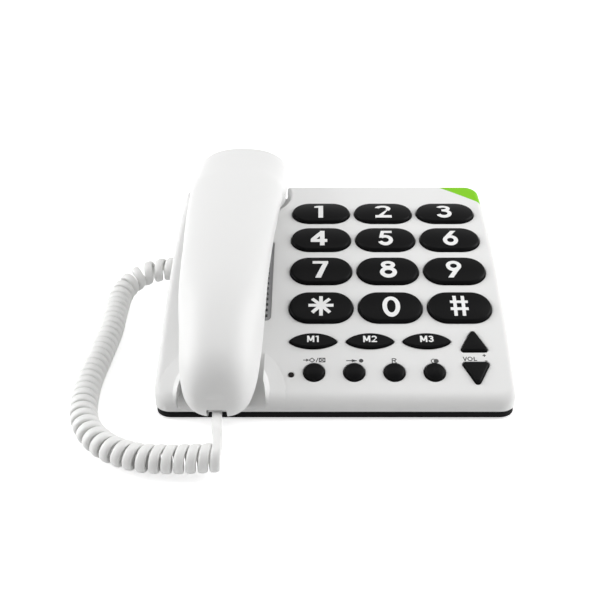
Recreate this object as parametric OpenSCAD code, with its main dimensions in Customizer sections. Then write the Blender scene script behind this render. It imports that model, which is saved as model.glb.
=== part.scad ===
// Corded landline phone with large keys. A low wedge of a base has a key panel that curves
// like part of a wide cylinder. A handset lies across its left side, in a shallow dish at the
// mouth end and a round well at the ear end, and a curly cord joins the two.
// Millimetres. +X is the user's right, +Y the rear and +Z up. The origin is on the table,
// under the middle of the box that holds the base and the handset.

/* [Base] */
// Width of the base, side to side
base_w = 190; // [188:1:196]
// Depth of the base, front to rear
base_d = 185; // [183:1:190]
// Height of the key panel at the rear edge of the base
base_h = 54; // [53:0.5:57]
// Radius of the key panel's curve, seen from the side
panel_r = 430; // [420:5:450]
// Wall thickness of the casings of the base
wall = 2.4; // [2:0.1:2.6]
// Radius of the base's upright corners
corner_r = 9; // [7:0.5:11]
// Rounding of the panel's left and right edges
side_round = 3.5; // [2.5:0.5:4]
// Rounding of the panel's front edge
nose_round = 8; // [6:0.5:9]
// Rounding of the panel's rear edge
rear_round = 2; // [1.5:0.5:4]
// Height at which the bottom cover meets the top shell
cover_top = 5; // [4.6:0.1:5.4]
// Step from the top shell's side in to the bottom cover's side
cover_step = 0.6; // [0.5:0.1:1.2]
// Height of the rubber feet below the bottom cover
foot_h = 1; // [0.9:0.1:1.4]

/* [Handset] */
// Length of the handset, over its two ends
handset_l = 216; // [214:1:220]
// How far the handset's mouth end stands out in front of the base
overhang = 12; // [11:0.5:13]
// Distance from the middle of the base to the handset's centre line
handset_x = -59.5; // [-61:0.5:-58]
// Turn of the handset as it lies, in degrees: its ear end is nearer the keys
handset_turn = 0.7; // [0:0.1:0.8]
// Wall thickness of the handset's shells
shell_wall = 2.2; // [1.8:0.1:2.4]
// Radius of the dish under the mouth end
dish_r = 33; // [31:0.5:34]
// Depth of the dish at its centre
dish_depth = 6; // [5.5:0.1:6.4]
// Radius of the well under the ear end
well_r = 32.5; // [32:0.5:34]
// Depth of the well below the rear edge of the panel
well_depth = 8; // [7.5:0.1:8.4]

/* [Keys] */
// Width of a digit key
key_w = 35.5; // [34:0.1:36.2]
// Height of a digit key along the panel
key_h = 22.1; // [21:0.1:23]
// Distance between the columns of digit keys
column_pitch = 38.6; // [38.4:0.1:39.2]
// Distance between the rows of digit keys along the panel
row_pitch = 29.8; // [29.4:0.1:30.6]
// How far each key can be pressed
key_travel = 1.5; // [1:0.1:1.6]
// Running gap between a key and its hole
key_gap = 0.4; // [0.35:0.05:0.6]
// Diameter of the four round keys
round_key_d = 11; // [10.5:0.1:12]
// Width of a memory key, between its points
memory_key_w = 25.8; // [24:0.2:27]
// Height of a memory key
memory_key_h = 9.2; // [8.6:0.2:10.4]
// Width of a volume key along its flat side
volume_key_w = 13.9; // [13.5:0.1:15]
// Height of a volume key, from flat side to point
volume_key_h = 13.6; // [12.5:0.1:14]

/* [Curly cord] */
// Outer diameter of the cord's curls
coil_d = 14.5; // [13.5:0.1:14.6]
// Width of the flat cord
cord_w = 5.1; // [4.2:0.1:5.1]
// Thickness of the flat cord
cord_t = 3; // [2.6:0.1:3.2]
// Distance between curls where the cord runs straight
curl_pitch = 5.6; // [5.6:0.1:6.8]

/* [Hidden] */
$fn = 64;
eps = 0.01;
far = 300; // longer than any side of the phone, for cutting bodies

casing_white = [0.93, 0.93, 0.92];
inner_grey = [0.55, 0.56, 0.57];
key_black = [0.03, 0.03, 0.03];
steel = [0.72, 0.72, 0.74];

// Places along the depth of the base
front_y = overhang - handset_l / 2;
rear_y = front_y + base_d;
axis_z = base_h - panel_r; // the panel's axis runs along X under the rear edge

// The dish and the well under the two ends of the handset
dish_y = front_y + 5;
dish_ball_r = (dish_r * dish_r + dish_depth * dish_depth) / (2 * dish_depth);
dish_tilt = asin((rear_y - dish_y) / panel_r);
dish_rise = panel_r + dish_ball_r - dish_depth;
dish_centre = [handset_x, rear_y - dish_rise * sin(dish_tilt), axis_z + dish_rise * cos(dish_tilt)];
well_centre = [handset_x, rear_y - 13];
well_floor = base_h - well_depth;

// The layers under the panel, as depths below its outer face
flange_depth = wall + 0.3;
flange_t = 1;
flange_side = 1;
mat_depth = flange_depth + flange_t + key_travel + 0.3;
mat_t = 1;
membrane_t = 1.6;
dome_gap = key_travel + 0.3;

// Where the keys are: from the middle of the base, and along the panel from its rear edge
first_column = -7.5;
first_row = 40.3;
memory_columns = [-11.8, 19, 49.7];
memory_row = first_row + 3 * row_pitch + 24.2;
round_columns = [-11.2, 10.1, 31.4, 52.7];
round_row = memory_row + 20.1;
volume_column = 75;
lens_place = [-23.3, round_row + 1.6];
lens_r = 1.45;

// The slotted grille beside the keys, under the handset's grip
grille_w = 48.6;
grille_l = 68.8;
grille_row = 104.4;
grille_drop = 0.9;
grille_t = 1.5;
slot_pitch = 4.3;
slot_w = 2;

// Fasteners and feet of the base
boss_places = [[-88, 50], [-88, 116], [88, 22], [88, 166]]; // across, and back from the front
foot_places = [[-74, 24], [-74, 160], [74, 24], [74, 160]];
boss_r = 3.2;
screw_r = 1.5;
screw_head_r = 2.9;
foot_r = 6;
cover_floor = 2; // thickness of the bottom cover's plate

// The modular plug and its sockets
plug = [7.7, 6.5, 11.5]; // across, high, and along the cord
plug_gap = 0.15;
jack_wall = 1.4;
cord_jack_y = front_y + 140.5;
cord_jack_z = 16.5;
line_jack_x = 55;
line_jack_z = 22;
line_opening = [9.9, 7.2, 13];

// The plunger that the handset holds down
hook_y = well_centre[1] - 5;
hook_r = 4;
hook_travel = 3.5;
hook_foot_z = 24;

// ---------------------------------------------------------------- the curved panel

// Turn, in degrees, of the panel at a distance forward from its rear edge
function turn_at(along) = along / panel_r * 180 / PI;

// Places its children on the panel's face, with Z along the face's outward direction
module on_panel(x, along) {
    translate([x, rear_y, axis_z])
        rotate([turn_at(along), 0, 0])
            translate([0, 0, panel_r])
                children();
}

// A rectangle with its two outer corners rounded: X is the radius, Y the way across
module panel_profile(r_in, r_out, half, rounding) {
    translate([r_in, -half])
        square([r_out - rounding - r_in, 2 * half]);
    translate([r_in, rounding - half])
        square([r_out - r_in, 2 * (half - rounding)]);
    for (side = [-1, 1])
        translate([r_out - rounding, side * (half - rounding)])
            circle(rounding);
}

// Outline of the base from above, moved in by a step
module base_outline(inset) {
    r = corner_r - inset;
    half = base_w / 2 - inset;
    y0 = front_y + inset;
    y1 = rear_y - inset;
    translate([-half, y0 + r])
        square([2 * half, y1 - y0 - 2 * r]);
    translate([r - half, y0])
        square([2 * (half - r), y1 - y0]);
    for (x = [r - half, half - r], y = [y0 + r, y1 - r])
        translate([x, y])
            circle(r);
}

// Cuts one rounded edge along X: everything in a wedge outside a cylinder
module edge_cutter(centre_y, centre_z, r, a_wall, a_panel) {
    reach = 3 * r;
    translate([0, centre_y, centre_z])
        rotate([90, 0, 90])
            linear_extrude(far, center = true)
                difference() {
                    polygon([
                        [0, 0],
                        reach * [cos(a_wall), sin(a_wall)],
                        reach * 1.5 * [cos((a_wall + a_panel) / 2), sin((a_wall + a_panel) / 2)],
                        reach * [cos(a_panel), sin(a_panel)]
                    ]);
                    circle(r);
                }
}

// The base's solid form: inset is 0 outside and the wall thickness inside
module base_form(inset, bottom) {
    r_top = panel_r - inset;
    nose = nose_round - inset;
    tail = rear_round - min(inset, rear_round - 1);
    nose_y = front_y + inset + nose;
    nose_z = axis_z + sqrt(pow(r_top - nose, 2) - pow(rear_y - nose_y, 2));
    nose_turn = asin((rear_y - nose_y) / (r_top - nose));
    tail_y = rear_y - inset - tail;
    tail_z = axis_z + sqrt(pow(r_top - tail, 2) - pow(rear_y - tail_y, 2));
    difference() {
        intersection() {
            translate([0, 0, bottom])
                linear_extrude(base_h)
                    base_outline(inset);
            translate([0, rear_y, axis_z])
                rotate([0, 90, 0])
                    rotate_extrude()
                        panel_profile(panel_r / 2, r_top, base_w / 2 - inset, side_round - inset / 2);
        }
        // a hair over the line that would make it tangent, so that the dish can cross it
        edge_cutter(nose_y, nose_z + 0.02, nose, 180, 90 + nose_turn);
        edge_cutter(tail_y, tail_z, tail, 90, 0);
    }
}

// The dish under the mouth end, grown by a skin to make its wall
module dish(skin) {
    translate(dish_centre)
        sphere(dish_ball_r + skin, $fn = 96);
}

// The well under the ear end, grown by a skin to make its wall
module well(skin) {
    translate([well_centre[0], well_centre[1], well_floor - skin])
        cylinder(h = base_h, r = well_r + skin);
}

// ---------------------------------------------------------------- key shapes

// A bar with round ends
module pill(w, h) {
    square([w - h, h], center = true);
    for (side = [-1, 1])
        translate([side * (w - h) / 2, 0])
            circle(h / 2);
}

// A pointed oval, where two wide circles cross
module pointed_oval(w, h) {
    r = (w * w + h * h) / (4 * h);
    intersection_for(side = [-1, 1])
        translate([0, side * (r - h / 2)])
            circle(r, $fn = 96);
}

// A triangle with its flat side towards -Y and round corners
module rounded_triangle(w, h, r) {
    a = w / 2 - r;
    b = h - 2 * r;
    slope = norm([a, b]);
    out = (r - eps) * [b, a] / slope;
    low = r - h / 2;
    translate([0, low]) {
        polygon([
            [-a, eps - r], [a, eps - r],
            [a + out[0], out[1]], [out[0], b + out[1]],
            [-out[0], b + out[1]], [-a - out[0], out[1]]
        ]);
        for (corner = [[-a, 0], [a, 0], [0, b]])
            translate(corner)
                circle(r);
    }
}

// Outline of each kind of key, grown by a margin
module key_outline(kind, grow) {
    if (kind == "digit")
        pill(key_w + 2 * grow, key_h + 2 * grow);
    if (kind == "memory")
        pointed_oval(memory_key_w + 2 * grow * 1.6, memory_key_h + 2 * grow);
    if (kind == "round")
        circle(round_key_d / 2 + grow);
    if (kind == "volume_up")
        rounded_triangle(volume_key_w + 2.6 * grow, volume_key_h + 2.6 * grow, max(1.4 + grow, 0.5));
    if (kind == "volume_down")
        rotate(180)
            rounded_triangle(volume_key_w + 2.6 * grow, volume_key_h + 2.6 * grow, max(1.4 + grow, 0.5));
}

// Half of a key's section: a side, a rounded shoulder and a low crown
module crown_section(half, deep, rim, crown, shoulder) {
    sag = crown - rim;
    r = (half * half + sag * sag) / (2 * sag);
    intersection() {
        union() {
            translate([0, -deep])
                square([half - shoulder, deep + crown]);
            translate([0, -deep])
                square([half, deep + rim - shoulder]);
            translate([half - shoulder, rim - shoulder])
                circle(shoulder, $fn = 32);
        }
        translate([0, crown - r])
            circle(r, $fn = 128);
        translate([0, -deep])
            square([half, deep + crown]);
    }
}

// The crowned block of a key, down to its flange
module key_block(kind) {
    if (kind == "digit") {
        for (side = [-1, 1])
            translate([side * (key_w - key_h) / 2, 0, 0])
                rotate_extrude()
                    crown_section(key_h / 2, flange_depth, 1.5, 2.9, 0.9);
        rotate([90, 0, 90])
            linear_extrude(key_w - key_h, center = true) {
                crown_section(key_h / 2, flange_depth, 1.5, 2.9, 0.9);
                mirror([1, 0])
                    crown_section(key_h / 2, flange_depth, 1.5, 2.9, 0.9);
            }
    } else {
        intersection() {
            translate([0, 0, -flange_depth])
                linear_extrude(flange_depth + 5)
                    key_outline(kind, 0);
            translate([0, 0, 2 - 42])
                sphere(42, $fn = 96);
        }
    }
}

// One key in its place: a hollow cap on a flange that can't pass the panel
module key(kind, x, along) {
    color(key_black)
        on_panel(x, along)
            difference() {
                union() {
                    key_block(kind);
                    translate([0, 0, -flange_depth - flange_t])
                        linear_extrude(flange_t + eps)
                            key_outline(kind, flange_side);
                }
                translate([0, 0, -flange_depth - flange_t - eps])
                    linear_extrude(flange_depth + flange_t - 0.4)
                        key_outline(kind, -1.6);
            }
}

function digit_place(i) = [first_column + (i % 3) * column_pitch, first_row + floor(i / 3) * row_pitch];

// Kind, place across and place along the panel of every key
key_places = concat(
    [for (i = [0:11]) ["digit", digit_place(i)[0], digit_place(i)[1]]],
    [for (x = memory_columns) ["memory", x, memory_row]],
    [for (x = round_columns) ["round", x, round_row]],
    [["volume_up", volume_column, memory_row], ["volume_down", volume_column, round_row + 0.5]]
);

// ---------------------------------------------------------------- base parts

module accent_prism() {
    corner = [base_w / 2 + 1, rear_y + 1];
    translate([0, 0, 30])
        linear_extrude(far)
            polygon([corner, [corner[0] - 29, corner[1]], [corner[0], corner[1] - 28]]);
}

module grille_block(r_in, r_out, margin) {
    half = grille_w / 2 + margin;
    span = turn_at(grille_l + 2 * margin);
    start = turn_at(grille_row) - span / 2;
    translate([handset_x, rear_y, axis_z])
        rotate([0, 90, 0])
            rotate([0, 0, 180 + start])
                rotate_extrude(angle = span, $fn = 128)
                    translate([r_in, -half])
                        square([r_out - r_in, 2 * half]);
}

module base_top_shell() {
    color(casing_white)
        difference() {
            base_form(0, cover_top);
            difference() {
                base_form(wall, cover_top - 1);
                dish(wall);
                well(wall);
                shell_bosses();
            }
            dish(0);
            well(0);
            accent_prism();
            for (k = key_places)
                on_panel(k[1], k[2])
                    translate([0, 0, -8])
                        linear_extrude(14)
                            key_outline(k[0], key_gap);
            grille_block(panel_r - wall - 1, panel_r + 2, 0);
            on_panel(lens_place[0], lens_place[1])
                cylinder(h = 20, r = lens_r + 0.1, center = true, $fn = 32);
            translate([handset_x, hook_y, well_floor - 10])
                cylinder(h = 20, r = hook_r + 0.4);
            for (p = boss_places)
                translate([p[0], front_y + p[1], cover_top - eps])
                    cylinder(h = 9, r = screw_r + 0.05, $fn = 32);
            // openings for the two jacks, through the left side and the rear
            translate([-base_w / 2 - 1, cord_jack_y - 5, cord_jack_z - 4.4])
                cube([wall + 2, 10, 8.8]);
            translate([line_jack_x - 6, rear_y - wall - 1, line_jack_z - 4.6])
                cube([12, wall + 2, 9.2]);
        }
}

module shell_bosses() {
    for (p = boss_places)
        translate([p[0], front_y + p[1], 0])
            cylinder(h = base_h, r = boss_r);
}

module base_bottom_cover() {
    color([0.04, 0.04, 0.045])
        difference() {
            translate([0, 0, foot_h])
                linear_extrude(cover_top - foot_h)
                    base_outline(cover_step);
            translate([0, 0, foot_h + cover_floor])
                linear_extrude(cover_top)
                    difference() {
                        base_outline(wall);
                        for (p = boss_places)
                            translate([p[0], front_y + p[1]])
                                circle(boss_r);
                    }
            for (p = foot_places)
                translate([p[0], front_y + p[1], foot_h - eps])
                    cylinder(h = 0.8 + eps, r = foot_r + 0.1);
            for (p = boss_places)
                translate([p[0], front_y + p[1], foot_h - eps]) {
                    cylinder(h = 2 + eps, r = screw_head_r + 0.2, $fn = 48);
                    cylinder(h = 9, r = screw_r + 0.1, $fn = 32);
                }
        }
}

module rubber_feet() {
    color([0.16, 0.16, 0.17])
        for (p = foot_places)
            translate([p[0], front_y + p[1], 0]) {
                cylinder(h = 0.6 + eps, r1 = foot_r - 0.6, r2 = foot_r);
                translate([0, 0, 0.6])
                    cylinder(h = foot_h + 0.2, r = foot_r);
            }
}

// A pan-head screw that points up, with a cross in its head
module screw(head_r, head_h, shank_r, l) {
    difference() {
        union() {
            cylinder(h = head_h, r = head_r, $fn = 48);
            cylinder(h = l, r = shank_r, $fn = 32);
        }
        for (turn = [0, 90])
            rotate(turn)
                translate([-head_r * 0.55, -0.4, -eps])
                    cube([head_r * 1.1, 0.8, 0.9]);
    }
}

module cover_screws() {
    color(steel)
        for (p = boss_places)
            translate([p[0], front_y + p[1], foot_h + 0.1])
                screw(screw_head_r, 1.9, screw_r, 10);
}

module corner_accent() {
    color([0.52, 0.86, 0.06])
        difference() {
            intersection() {
                base_form(0, cover_top);
                accent_prism();
            }
            base_form(wall, cover_top - 1);
        }
}

module speaker_grille() {
    slots = floor((grille_l - 4) / slot_pitch);
    color([0.42, 0.42, 0.43])
        difference() {
            grille_block(panel_r - grille_drop - grille_t, panel_r - grille_drop, -0.1);
            for (i = [0:slots - 1], side = [-1, 1])
                on_panel(handset_x + side * 11.8, grille_row + (i - (slots - 1) / 2) * slot_pitch)
                    cube([21, slot_w, 9], center = true);
        }
}

module indicator_lens() {
    color([0.05, 0.02, 0.02])
        on_panel(lens_place[0], lens_place[1]) {
            translate([0, 0, -4.4])
                cylinder(h = 4.7, r = lens_r, $fn = 32);
            translate([0, 0, -wall - 0.9])
                cylinder(h = 0.8, r = 2.4, $fn = 32);
        }
}

// A curved sheet under the panel, between two depths, over the whole key field
module under_panel_sheet(depth, t) {
    span = turn_at(158);
    translate([32, rear_y, axis_z])
        rotate([0, 90, 0])
            rotate([0, 0, 180 + turn_at(24)])
                rotate_extrude(angle = span, $fn = 128)
                    translate([panel_r - depth - t, -52])
                        square([t, 104]);
}

// Size of the rubber dome under each kind of key
function dome_r(kind) = kind == "digit" ? 4 : kind == "round" ? 2.6 : 2.2;

module key_mat() {
    color([0.75, 0.75, 0.73])
        union() {
            under_panel_sheet(mat_depth, mat_t);
            for (k = key_places)
                on_panel(k[1], k[2])
                    translate([0, 0, -mat_depth - 0.5])
                        cylinder(h = mat_depth + 0.5 - 0.4 - dome_gap, r = dome_r(k[0]), $fn = 32);
        }
}

module keypad_membrane() {
    color([0.12, 0.34, 0.2])
        under_panel_sheet(mat_depth + mat_t, membrane_t);
}

module main_circuit_board() {
    board_z = 9;
    color([0.1, 0.36, 0.2])
        difference() {
            union() {
                translate([-22, front_y + 62, board_z])
                    cube([104, 96, 1.6]);
                // transformer, two capacitors and a row of contacts
                translate([48, front_y + 118, board_z + 1.6 - eps])
                    cube([16, 18, 11]);
                for (x = [20, 32])
                    translate([x, front_y + 132, board_z + 1.6 - eps])
                        cylinder(h = 10, r = 4, $fn = 32);
                translate([-12, front_y + 80, board_z + 1.6 - eps])
                    cube([34, 5, 6]);
            }
            for (x = [-16, 76], y = [68, 152])
                translate([x, front_y + y, board_z - 1])
                    cylinder(h = 4, r = 1.7, $fn = 32);
        }
    // four feet carry the board on the bottom cover
    color([0.3, 0.3, 0.3])
        for (x = [-16, 76], y = [68, 152])
            translate([x, front_y + y, foot_h + cover_floor])
                cylinder(h = board_z - foot_h - cover_floor, r = 2.8, $fn = 32);
}

module ringer_speaker() {
    color([0.35, 0.35, 0.37])
        on_panel(handset_x, grille_row)
            translate([0, 0, -wall - 1.4])
                rotate([180, 0, 0]) {
                    cylinder(h = 3, r = 20);
                    translate([0, 0, 3 - eps])
                        cylinder(h = 5, r1 = 19, r2 = 12);
                    translate([0, 0, 8 - 2 * eps])
                        cylinder(h = 6, r = 12);
                }
}

module hook_plunger() {
    top = well_floor - 0.1;
    color(casing_white)
        translate([handset_x, hook_y, 0]) {
            translate([0, 0, hook_foot_z])
                cylinder(h = top - 1 - hook_foot_z, r = hook_r);
            translate([0, 0, top - 1 - eps])
                cylinder(h = 1, r1 = hook_r, r2 = hook_r - 0.8);
            // the collar that stops it under the well's floor
            translate([0, 0, well_floor - wall - hook_travel - 0.4 - 1.6])
                cylinder(h = 1.6, r = hook_r + 2);
        }
}

// ---------------------------------------------------------------- swept tubes

// Flat oval section with six corners, wide along its first axis
function flat_section(w, t) = [
    [w / 2, 0], [w * 0.28, t / 2], [-w * 0.28, t / 2],
    [-w / 2, 0], [-w * 0.28, -t / 2], [w * 0.28, -t / 2]
];
function unit(v) = v / norm(v);
function tangent(points, i) = unit(points[min(i + 1, len(points) - 1)] - points[max(i - 1, 0)]);

// One ring of a tube: its centre, its direction, and the way that its thin side faces
function ring(centre, along, facing, section) =
    let (thin = unit(facing - (facing * along) * along), wide = cross(along, thin))
    [for (c = section) centre + c[0] * wide + c[1] * thin];

// Closed skin of triangles over rings of equal length
function skin_faces(rings, n) = concat(
    [for (k = [0:rings - 2], i = [0:n - 1])
        let (a = k * n + i, b = k * n + (i + 1) % n)
        each [[a, b, a + n], [b, b + n, a + n]]],
    [for (i = [1:n - 2]) [0, i + 1, i]],
    [for (i = [1:n - 2]) let (z = (rings - 1) * n) [z, z + i, z + i + 1]]
);

module tube(rings) {
    n = len(rings[0]);
    polyhedron([for (r = rings) each r], skin_faces(len(rings), n), convexity = 10);
}

module hook_spring() {
    turns = 5;
    z0 = foot_h + cover_floor;
    z1 = hook_foot_z - 0.3;
    wire = 0.9;
    steps = turns * 8;
    r = 3.6;
    path = [for (i = [0:steps])
        [handset_x + r * cos(45 * i), hook_y + r * sin(45 * i), z0 + wire / 2 + (z1 - z0 - wire) * i / steps]];
    color(steel)
        tube([for (i = [0:steps])
            ring(path[i], tangent(path, i), [cos(45 * i), sin(45 * i), 0], flat_section(wire, wire))]);
}

module hook_switch() {
    top = hook_foot_z;
    color(inner_grey)
        translate([handset_x + 7, hook_y - 4, foot_h + cover_floor]) {
            cube([7, 8, top - foot_h - cover_floor - 3]);
            translate([2, 2.5, 0])
                cube([2.5, 3, top - foot_h - cover_floor - 1]);
        }
}

// ---------------------------------------------------------------- jacks and plugs

// A socket block that opens towards -Y, its mouth's centre at the origin
module socket_block(opening, jaw, depth_behind) {
    difference() {
        translate([-opening[0] / 2 - jaw, 0, -opening[1] / 2 - jaw])
            cube([opening[0] + 2 * jaw, opening[2] + depth_behind, opening[1] + 2 * jaw]);
        translate([-opening[0] / 2, -eps, -opening[1] / 2])
            cube([opening[0], opening[2] + eps, opening[1]]);
    }
}

plug_opening = [plug[0] + 2 * plug_gap, plug[1] + 2 * plug_gap, plug[2] + 0.3];

// The plug's body, from its cord side at the origin towards +Y
module plug_body() {
    translate([-plug[0] / 2, 0, -plug[1] / 2])
        cube([plug[0], plug[2], plug[1]]);
}

module handset_cord_jack() {
    color(inner_grey) {
        translate([-base_w / 2 + wall, cord_jack_y, cord_jack_z])
            rotate(-90)
                socket_block(plug_opening + [0, 0, 2.6], jack_wall, 2);
        translate([-base_w / 2 + wall + 6, cord_jack_y - 4, foot_h + cover_floor])
            cube([8, 8, cord_jack_z - plug_opening[1] / 2 - jack_wall - foot_h - cover_floor + eps]);
    }
}

module base_cord_plug() {
    color([0.8, 0.82, 0.84])
        translate([-base_w / 2 + wall + 2.6, cord_jack_y, cord_jack_z])
            rotate(-90)
                plug_body();
}

module line_cord_jack() {
    color(inner_grey)
        translate([line_jack_x, rear_y - wall, line_jack_z])
            rotate(180) {
                socket_block(line_opening, jack_wall, 3);
                translate([-4, 6, foot_h + cover_floor - line_jack_z])
                    cube([8, 8, line_jack_z - foot_h - cover_floor - line_opening[1] / 2 - jack_wall + eps]);
            }
}

// ---------------------------------------------------------------- the curly cord

handset_plug_s = 6.5; // from the handset's front end to the plug's cord side
handset_plug_z = 14.5;
coil_r = (coil_d - cord_t) / 2;

// The middle line of the curls, from below the mouth end round to the base's left side
cord_route = [
    [-56.6, -141, 10.5], [-70, -141, 9.6], [-83, -140, 8.6], [-97, -137, 7.6], [-111, -130, 7.3],
    [-122, -119, 7.3], [-129, -105, 7.3], [-132, -88, 7.3], [-133, -68, 7.3], [-132, -44, 7.3],
    [-131, -20, 7.5], [-131.6, -2, 7.9], [-132, 14, 8.6], [-131.5, 22.5, 9.5], [-129.5, 30.5, 10.6],
    [-125, 37.6, 12], [-118.6, 42.3, 13.7], [-111, 44.2, 15.2], [-103.5, 44.5, 16.2], [-97, 44.5, 16.5]
];
// The straight tail from the handset's plug to the top of the first curl
cord_tail = [
    [-60.6, -101.95, 14.5], [-60.6, -102.7, 14.3], [-60.6, -103.7, 13.2], [-60.6, -104.9, 11.8],
    [-60.5, -106.3, 11.1], [-60.3, -109, 10.9], [-59.9, -115, 11.6], [-59.3, -121, 13],
    [-58.5, -127, 14.8], [-57.6, -133, 16.3]
];

// A smooth curve through points, at a place counted in points
function curve_at(points, t) =
    let (
        i = min(floor(t), len(points) - 2), f = t - i,
        p0 = points[max(i - 1, 0)], p1 = points[i],
        p2 = points[i + 1], p3 = points[min(i + 2, len(points) - 1)]
    )
    0.5 * (2 * p1 + (p2 - p0) * f + (2 * p0 - 5 * p1 + 4 * p2 - p3) * f * f
        + (3 * p1 - p0 - 3 * p2 + p3) * f * f * f);

route_steps = 12;
route_line = [for (i = [0:(len(cord_route) - 1) * route_steps]) curve_at(cord_route, i / route_steps)];
bend_span = 6;
function bend_at(i) =
    i < bend_span || i > len(route_line) - 1 - bend_span ? 0 :
    let (before = route_line[i] - route_line[i - bend_span], after = route_line[i + bend_span] - route_line[i])
    norm(unit(after) - unit(before)) * 2 / (norm(before) + norm(after));
// The curls open where the route bends, so that their inner sides stay apart
function pitch_at(i) = max(curl_pitch, (cord_w + 0.4) / (1 - bend_at(i) * coil_d * 0.44));
function smooth_pitch(i) =
    let (near = [for (j = [max(i - 4, 0):min(i + 4, len(route_line) - 1)]) pitch_at(j)]) max(near);
route_turns = [
    for (i = 0, turn = 0; i < len(route_line);
        turn = turn + (i < len(route_line) - 1 ? norm(route_line[i + 1] - route_line[i]) / smooth_pitch(i) : 0),
        i = i + 1) turn
];
curl_rings = floor(route_turns[len(route_turns) - 1] * 8);
function route_index(turn) = lookup(turn, [for (i = [0:len(route_line) - 1]) [route_turns[i], i]]);
function route_point(t) =
    let (i = min(floor(t), len(route_line) - 2)) route_line[i] + (t - i) * (route_line[i + 1] - route_line[i]);

// Centre and facing of the cord's ring k, counted along the curls; the last ones close in
closing_rings = 6;
function closing(k) = min(1, (curl_rings - k) / closing_rings);
function curl_ring(k) =
    let (
        t = route_index(k / 8), a = tangent(route_line, round(t)),
        side = unit(cross(a, [0, 0, 1])), up = cross(side, a), turn = 90 + 45 * k,
        out = cos(turn) * side + sin(turn) * up,
        shrink = closing(k) * closing(k) * (3 - 2 * closing(k))
    )
    [route_point(t) + coil_r * shrink * out, out];

curls = [for (k = [0:curl_rings]) curl_ring(k)];
jack_mouth_x = -base_w / 2 + wall + 2.6;
cord_end = [[-95.5, cord_jack_y, cord_jack_z], [jack_mouth_x, cord_jack_y, cord_jack_z]];
cord_points = concat(cord_tail, [for (c = curls) c[0]], cord_end);
cord_facing = concat(
    [for (p = cord_tail) [0, 0, 1]], [for (c = curls) c[1]], [for (p = cord_end) curls[curl_rings][1]]
);
cord_rings = [for (i = [0:len(cord_points) - 1])
    ring(cord_points[i], tangent(cord_points, i), cord_facing[i], flat_section(cord_w, cord_t))];

// Least distance between a ring's points and those one curl further on
cord_gap = min([
    for (i = [0:len(cord_rings) - 12], j = [i + 5:i + 11], p = cord_rings[i], q = cord_rings[j]) norm(p - q)
]);
cord_length = [for (i = 0, l = 0; i < len(cord_points);
    l = l + (i < len(cord_points) - 1 ? norm(cord_points[i + 1] - cord_points[i]) : 0), i = i + 1) l];

module handset_cord() {
    echo(least_gap = cord_gap, curls = curl_rings / 8, length = cord_length[len(cord_length) - 1]);
    color(casing_white)
        tube(cord_rings);
}

// ---------------------------------------------------------------- the handset

// Distance from the front end, height of the back, height of the underside, half width
handset_form = [
    [0, 25, 18, 5.2], [0.8, 31, 12.2, 10.2], [3, 37, 8.2, 14.2], [8, 43.8, 5.7, 17.9],
    [17, 50.5, 8.7, 20.3], [27, 56.8, 13.6, 21.3], [37, 62.3, 21.5, 22.3], [48, 67, 38, 23.3],
    [62, 71.5, 48, 23.8], [87, 77, 54.5, 24.8], [112, 80.5, 58.5, 26.3], [134, 82.3, 60, 27.4],
    [150, 83, 58, 28.4], [160, 83, 50, 29], [168, 82.9, 46.7, 29.2], [182, 82, 46.4, 29.5],
    [196, 80.2, 46.6, 29.7], [205, 77.6, 48, 28.7], [211.5, 73.4, 51, 25.6], [215, 68, 55.5, 19.5],
    [216, 63.5, 59, 11]
];
form_steps = 2;
form_rows = [for (i = [0:(len(handset_form) - 1) * form_steps]) curve_at(handset_form, i / form_steps)];
parting_share = 0.42; // height of the parting line between underside and back
arc_points = 13;
back_power = 2.3;
belly_power = 2.5;

function bulge(v, power) = sign(v) * pow(abs(v), 2 / power);
function parting(row) = row[2] + parting_share * (row[1] - row[2]);

// Half a rounded section, from +X over the rise to -X
function half_section(row, half, rise, power) = [
    for (i = [0:arc_points - 1]) let (a = 180 * i / (arc_points - 1))
    [
        handset_x + half * bulge(cos(a), power),
        row[0] - handset_l / 2,
        parting(row) + rise * bulge(max(sin(a), 0), power)
    ]
];

// A closed half shell: its outer skin, then its inner skin back along the same rows
module half_shell(upper) {
    power = upper ? back_power : belly_power;
    n = 2 * arc_points;
    function rise(row) = upper ? row[1] - parting(row) : parting(row) - row[2];
    function inner_rise(row) = max(0, rise(row) - shell_wall);
    way = upper ? 1 : -1;
    rings = [for (row = form_rows)
        let (
            outer = half_section(row, row[3], way * rise(row), power),
            closed = inner_rise(row) < 0.6 ? 0 : min(1, inner_rise(row) / 2),
            inner = half_section(row, max(row[3] - shell_wall, row[3] * 0.5), way * inner_rise(row) * closed, power)
        )
        concat(outer, [for (i = [arc_points - 1:-1:0]) inner[i]])];
    points = [for (r = rings) each r];
    skin = [for (k = [0:len(rings) - 2], i = [0:n - 1])
        let (a = k * n + i, b = k * n + (i + 1) % n)
        each [[a, b, a + n], [b, b + n, a + n]]];
    last = (len(rings) - 1) * n;
    function cap(z, i) =
        let (a = z + i, b = z + n - 1 - i)
        i < arc_points / 2 - 1 ? [[a, b, a + 1], [a + 1, b, b - 1]] : [[a, b, b - 1], [a, b - 1, a + 1]];
    caps = [for (i = [0:arc_points - 2])
        each concat(cap(0, i), [for (f = cap(last, i)) [f[2], f[1], f[0]]])];
    faces = concat(skin, caps);
    polyhedron(points, upper ? faces : [for (f = faces) [f[2], f[1], f[0]]], convexity = 10);
}

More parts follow.
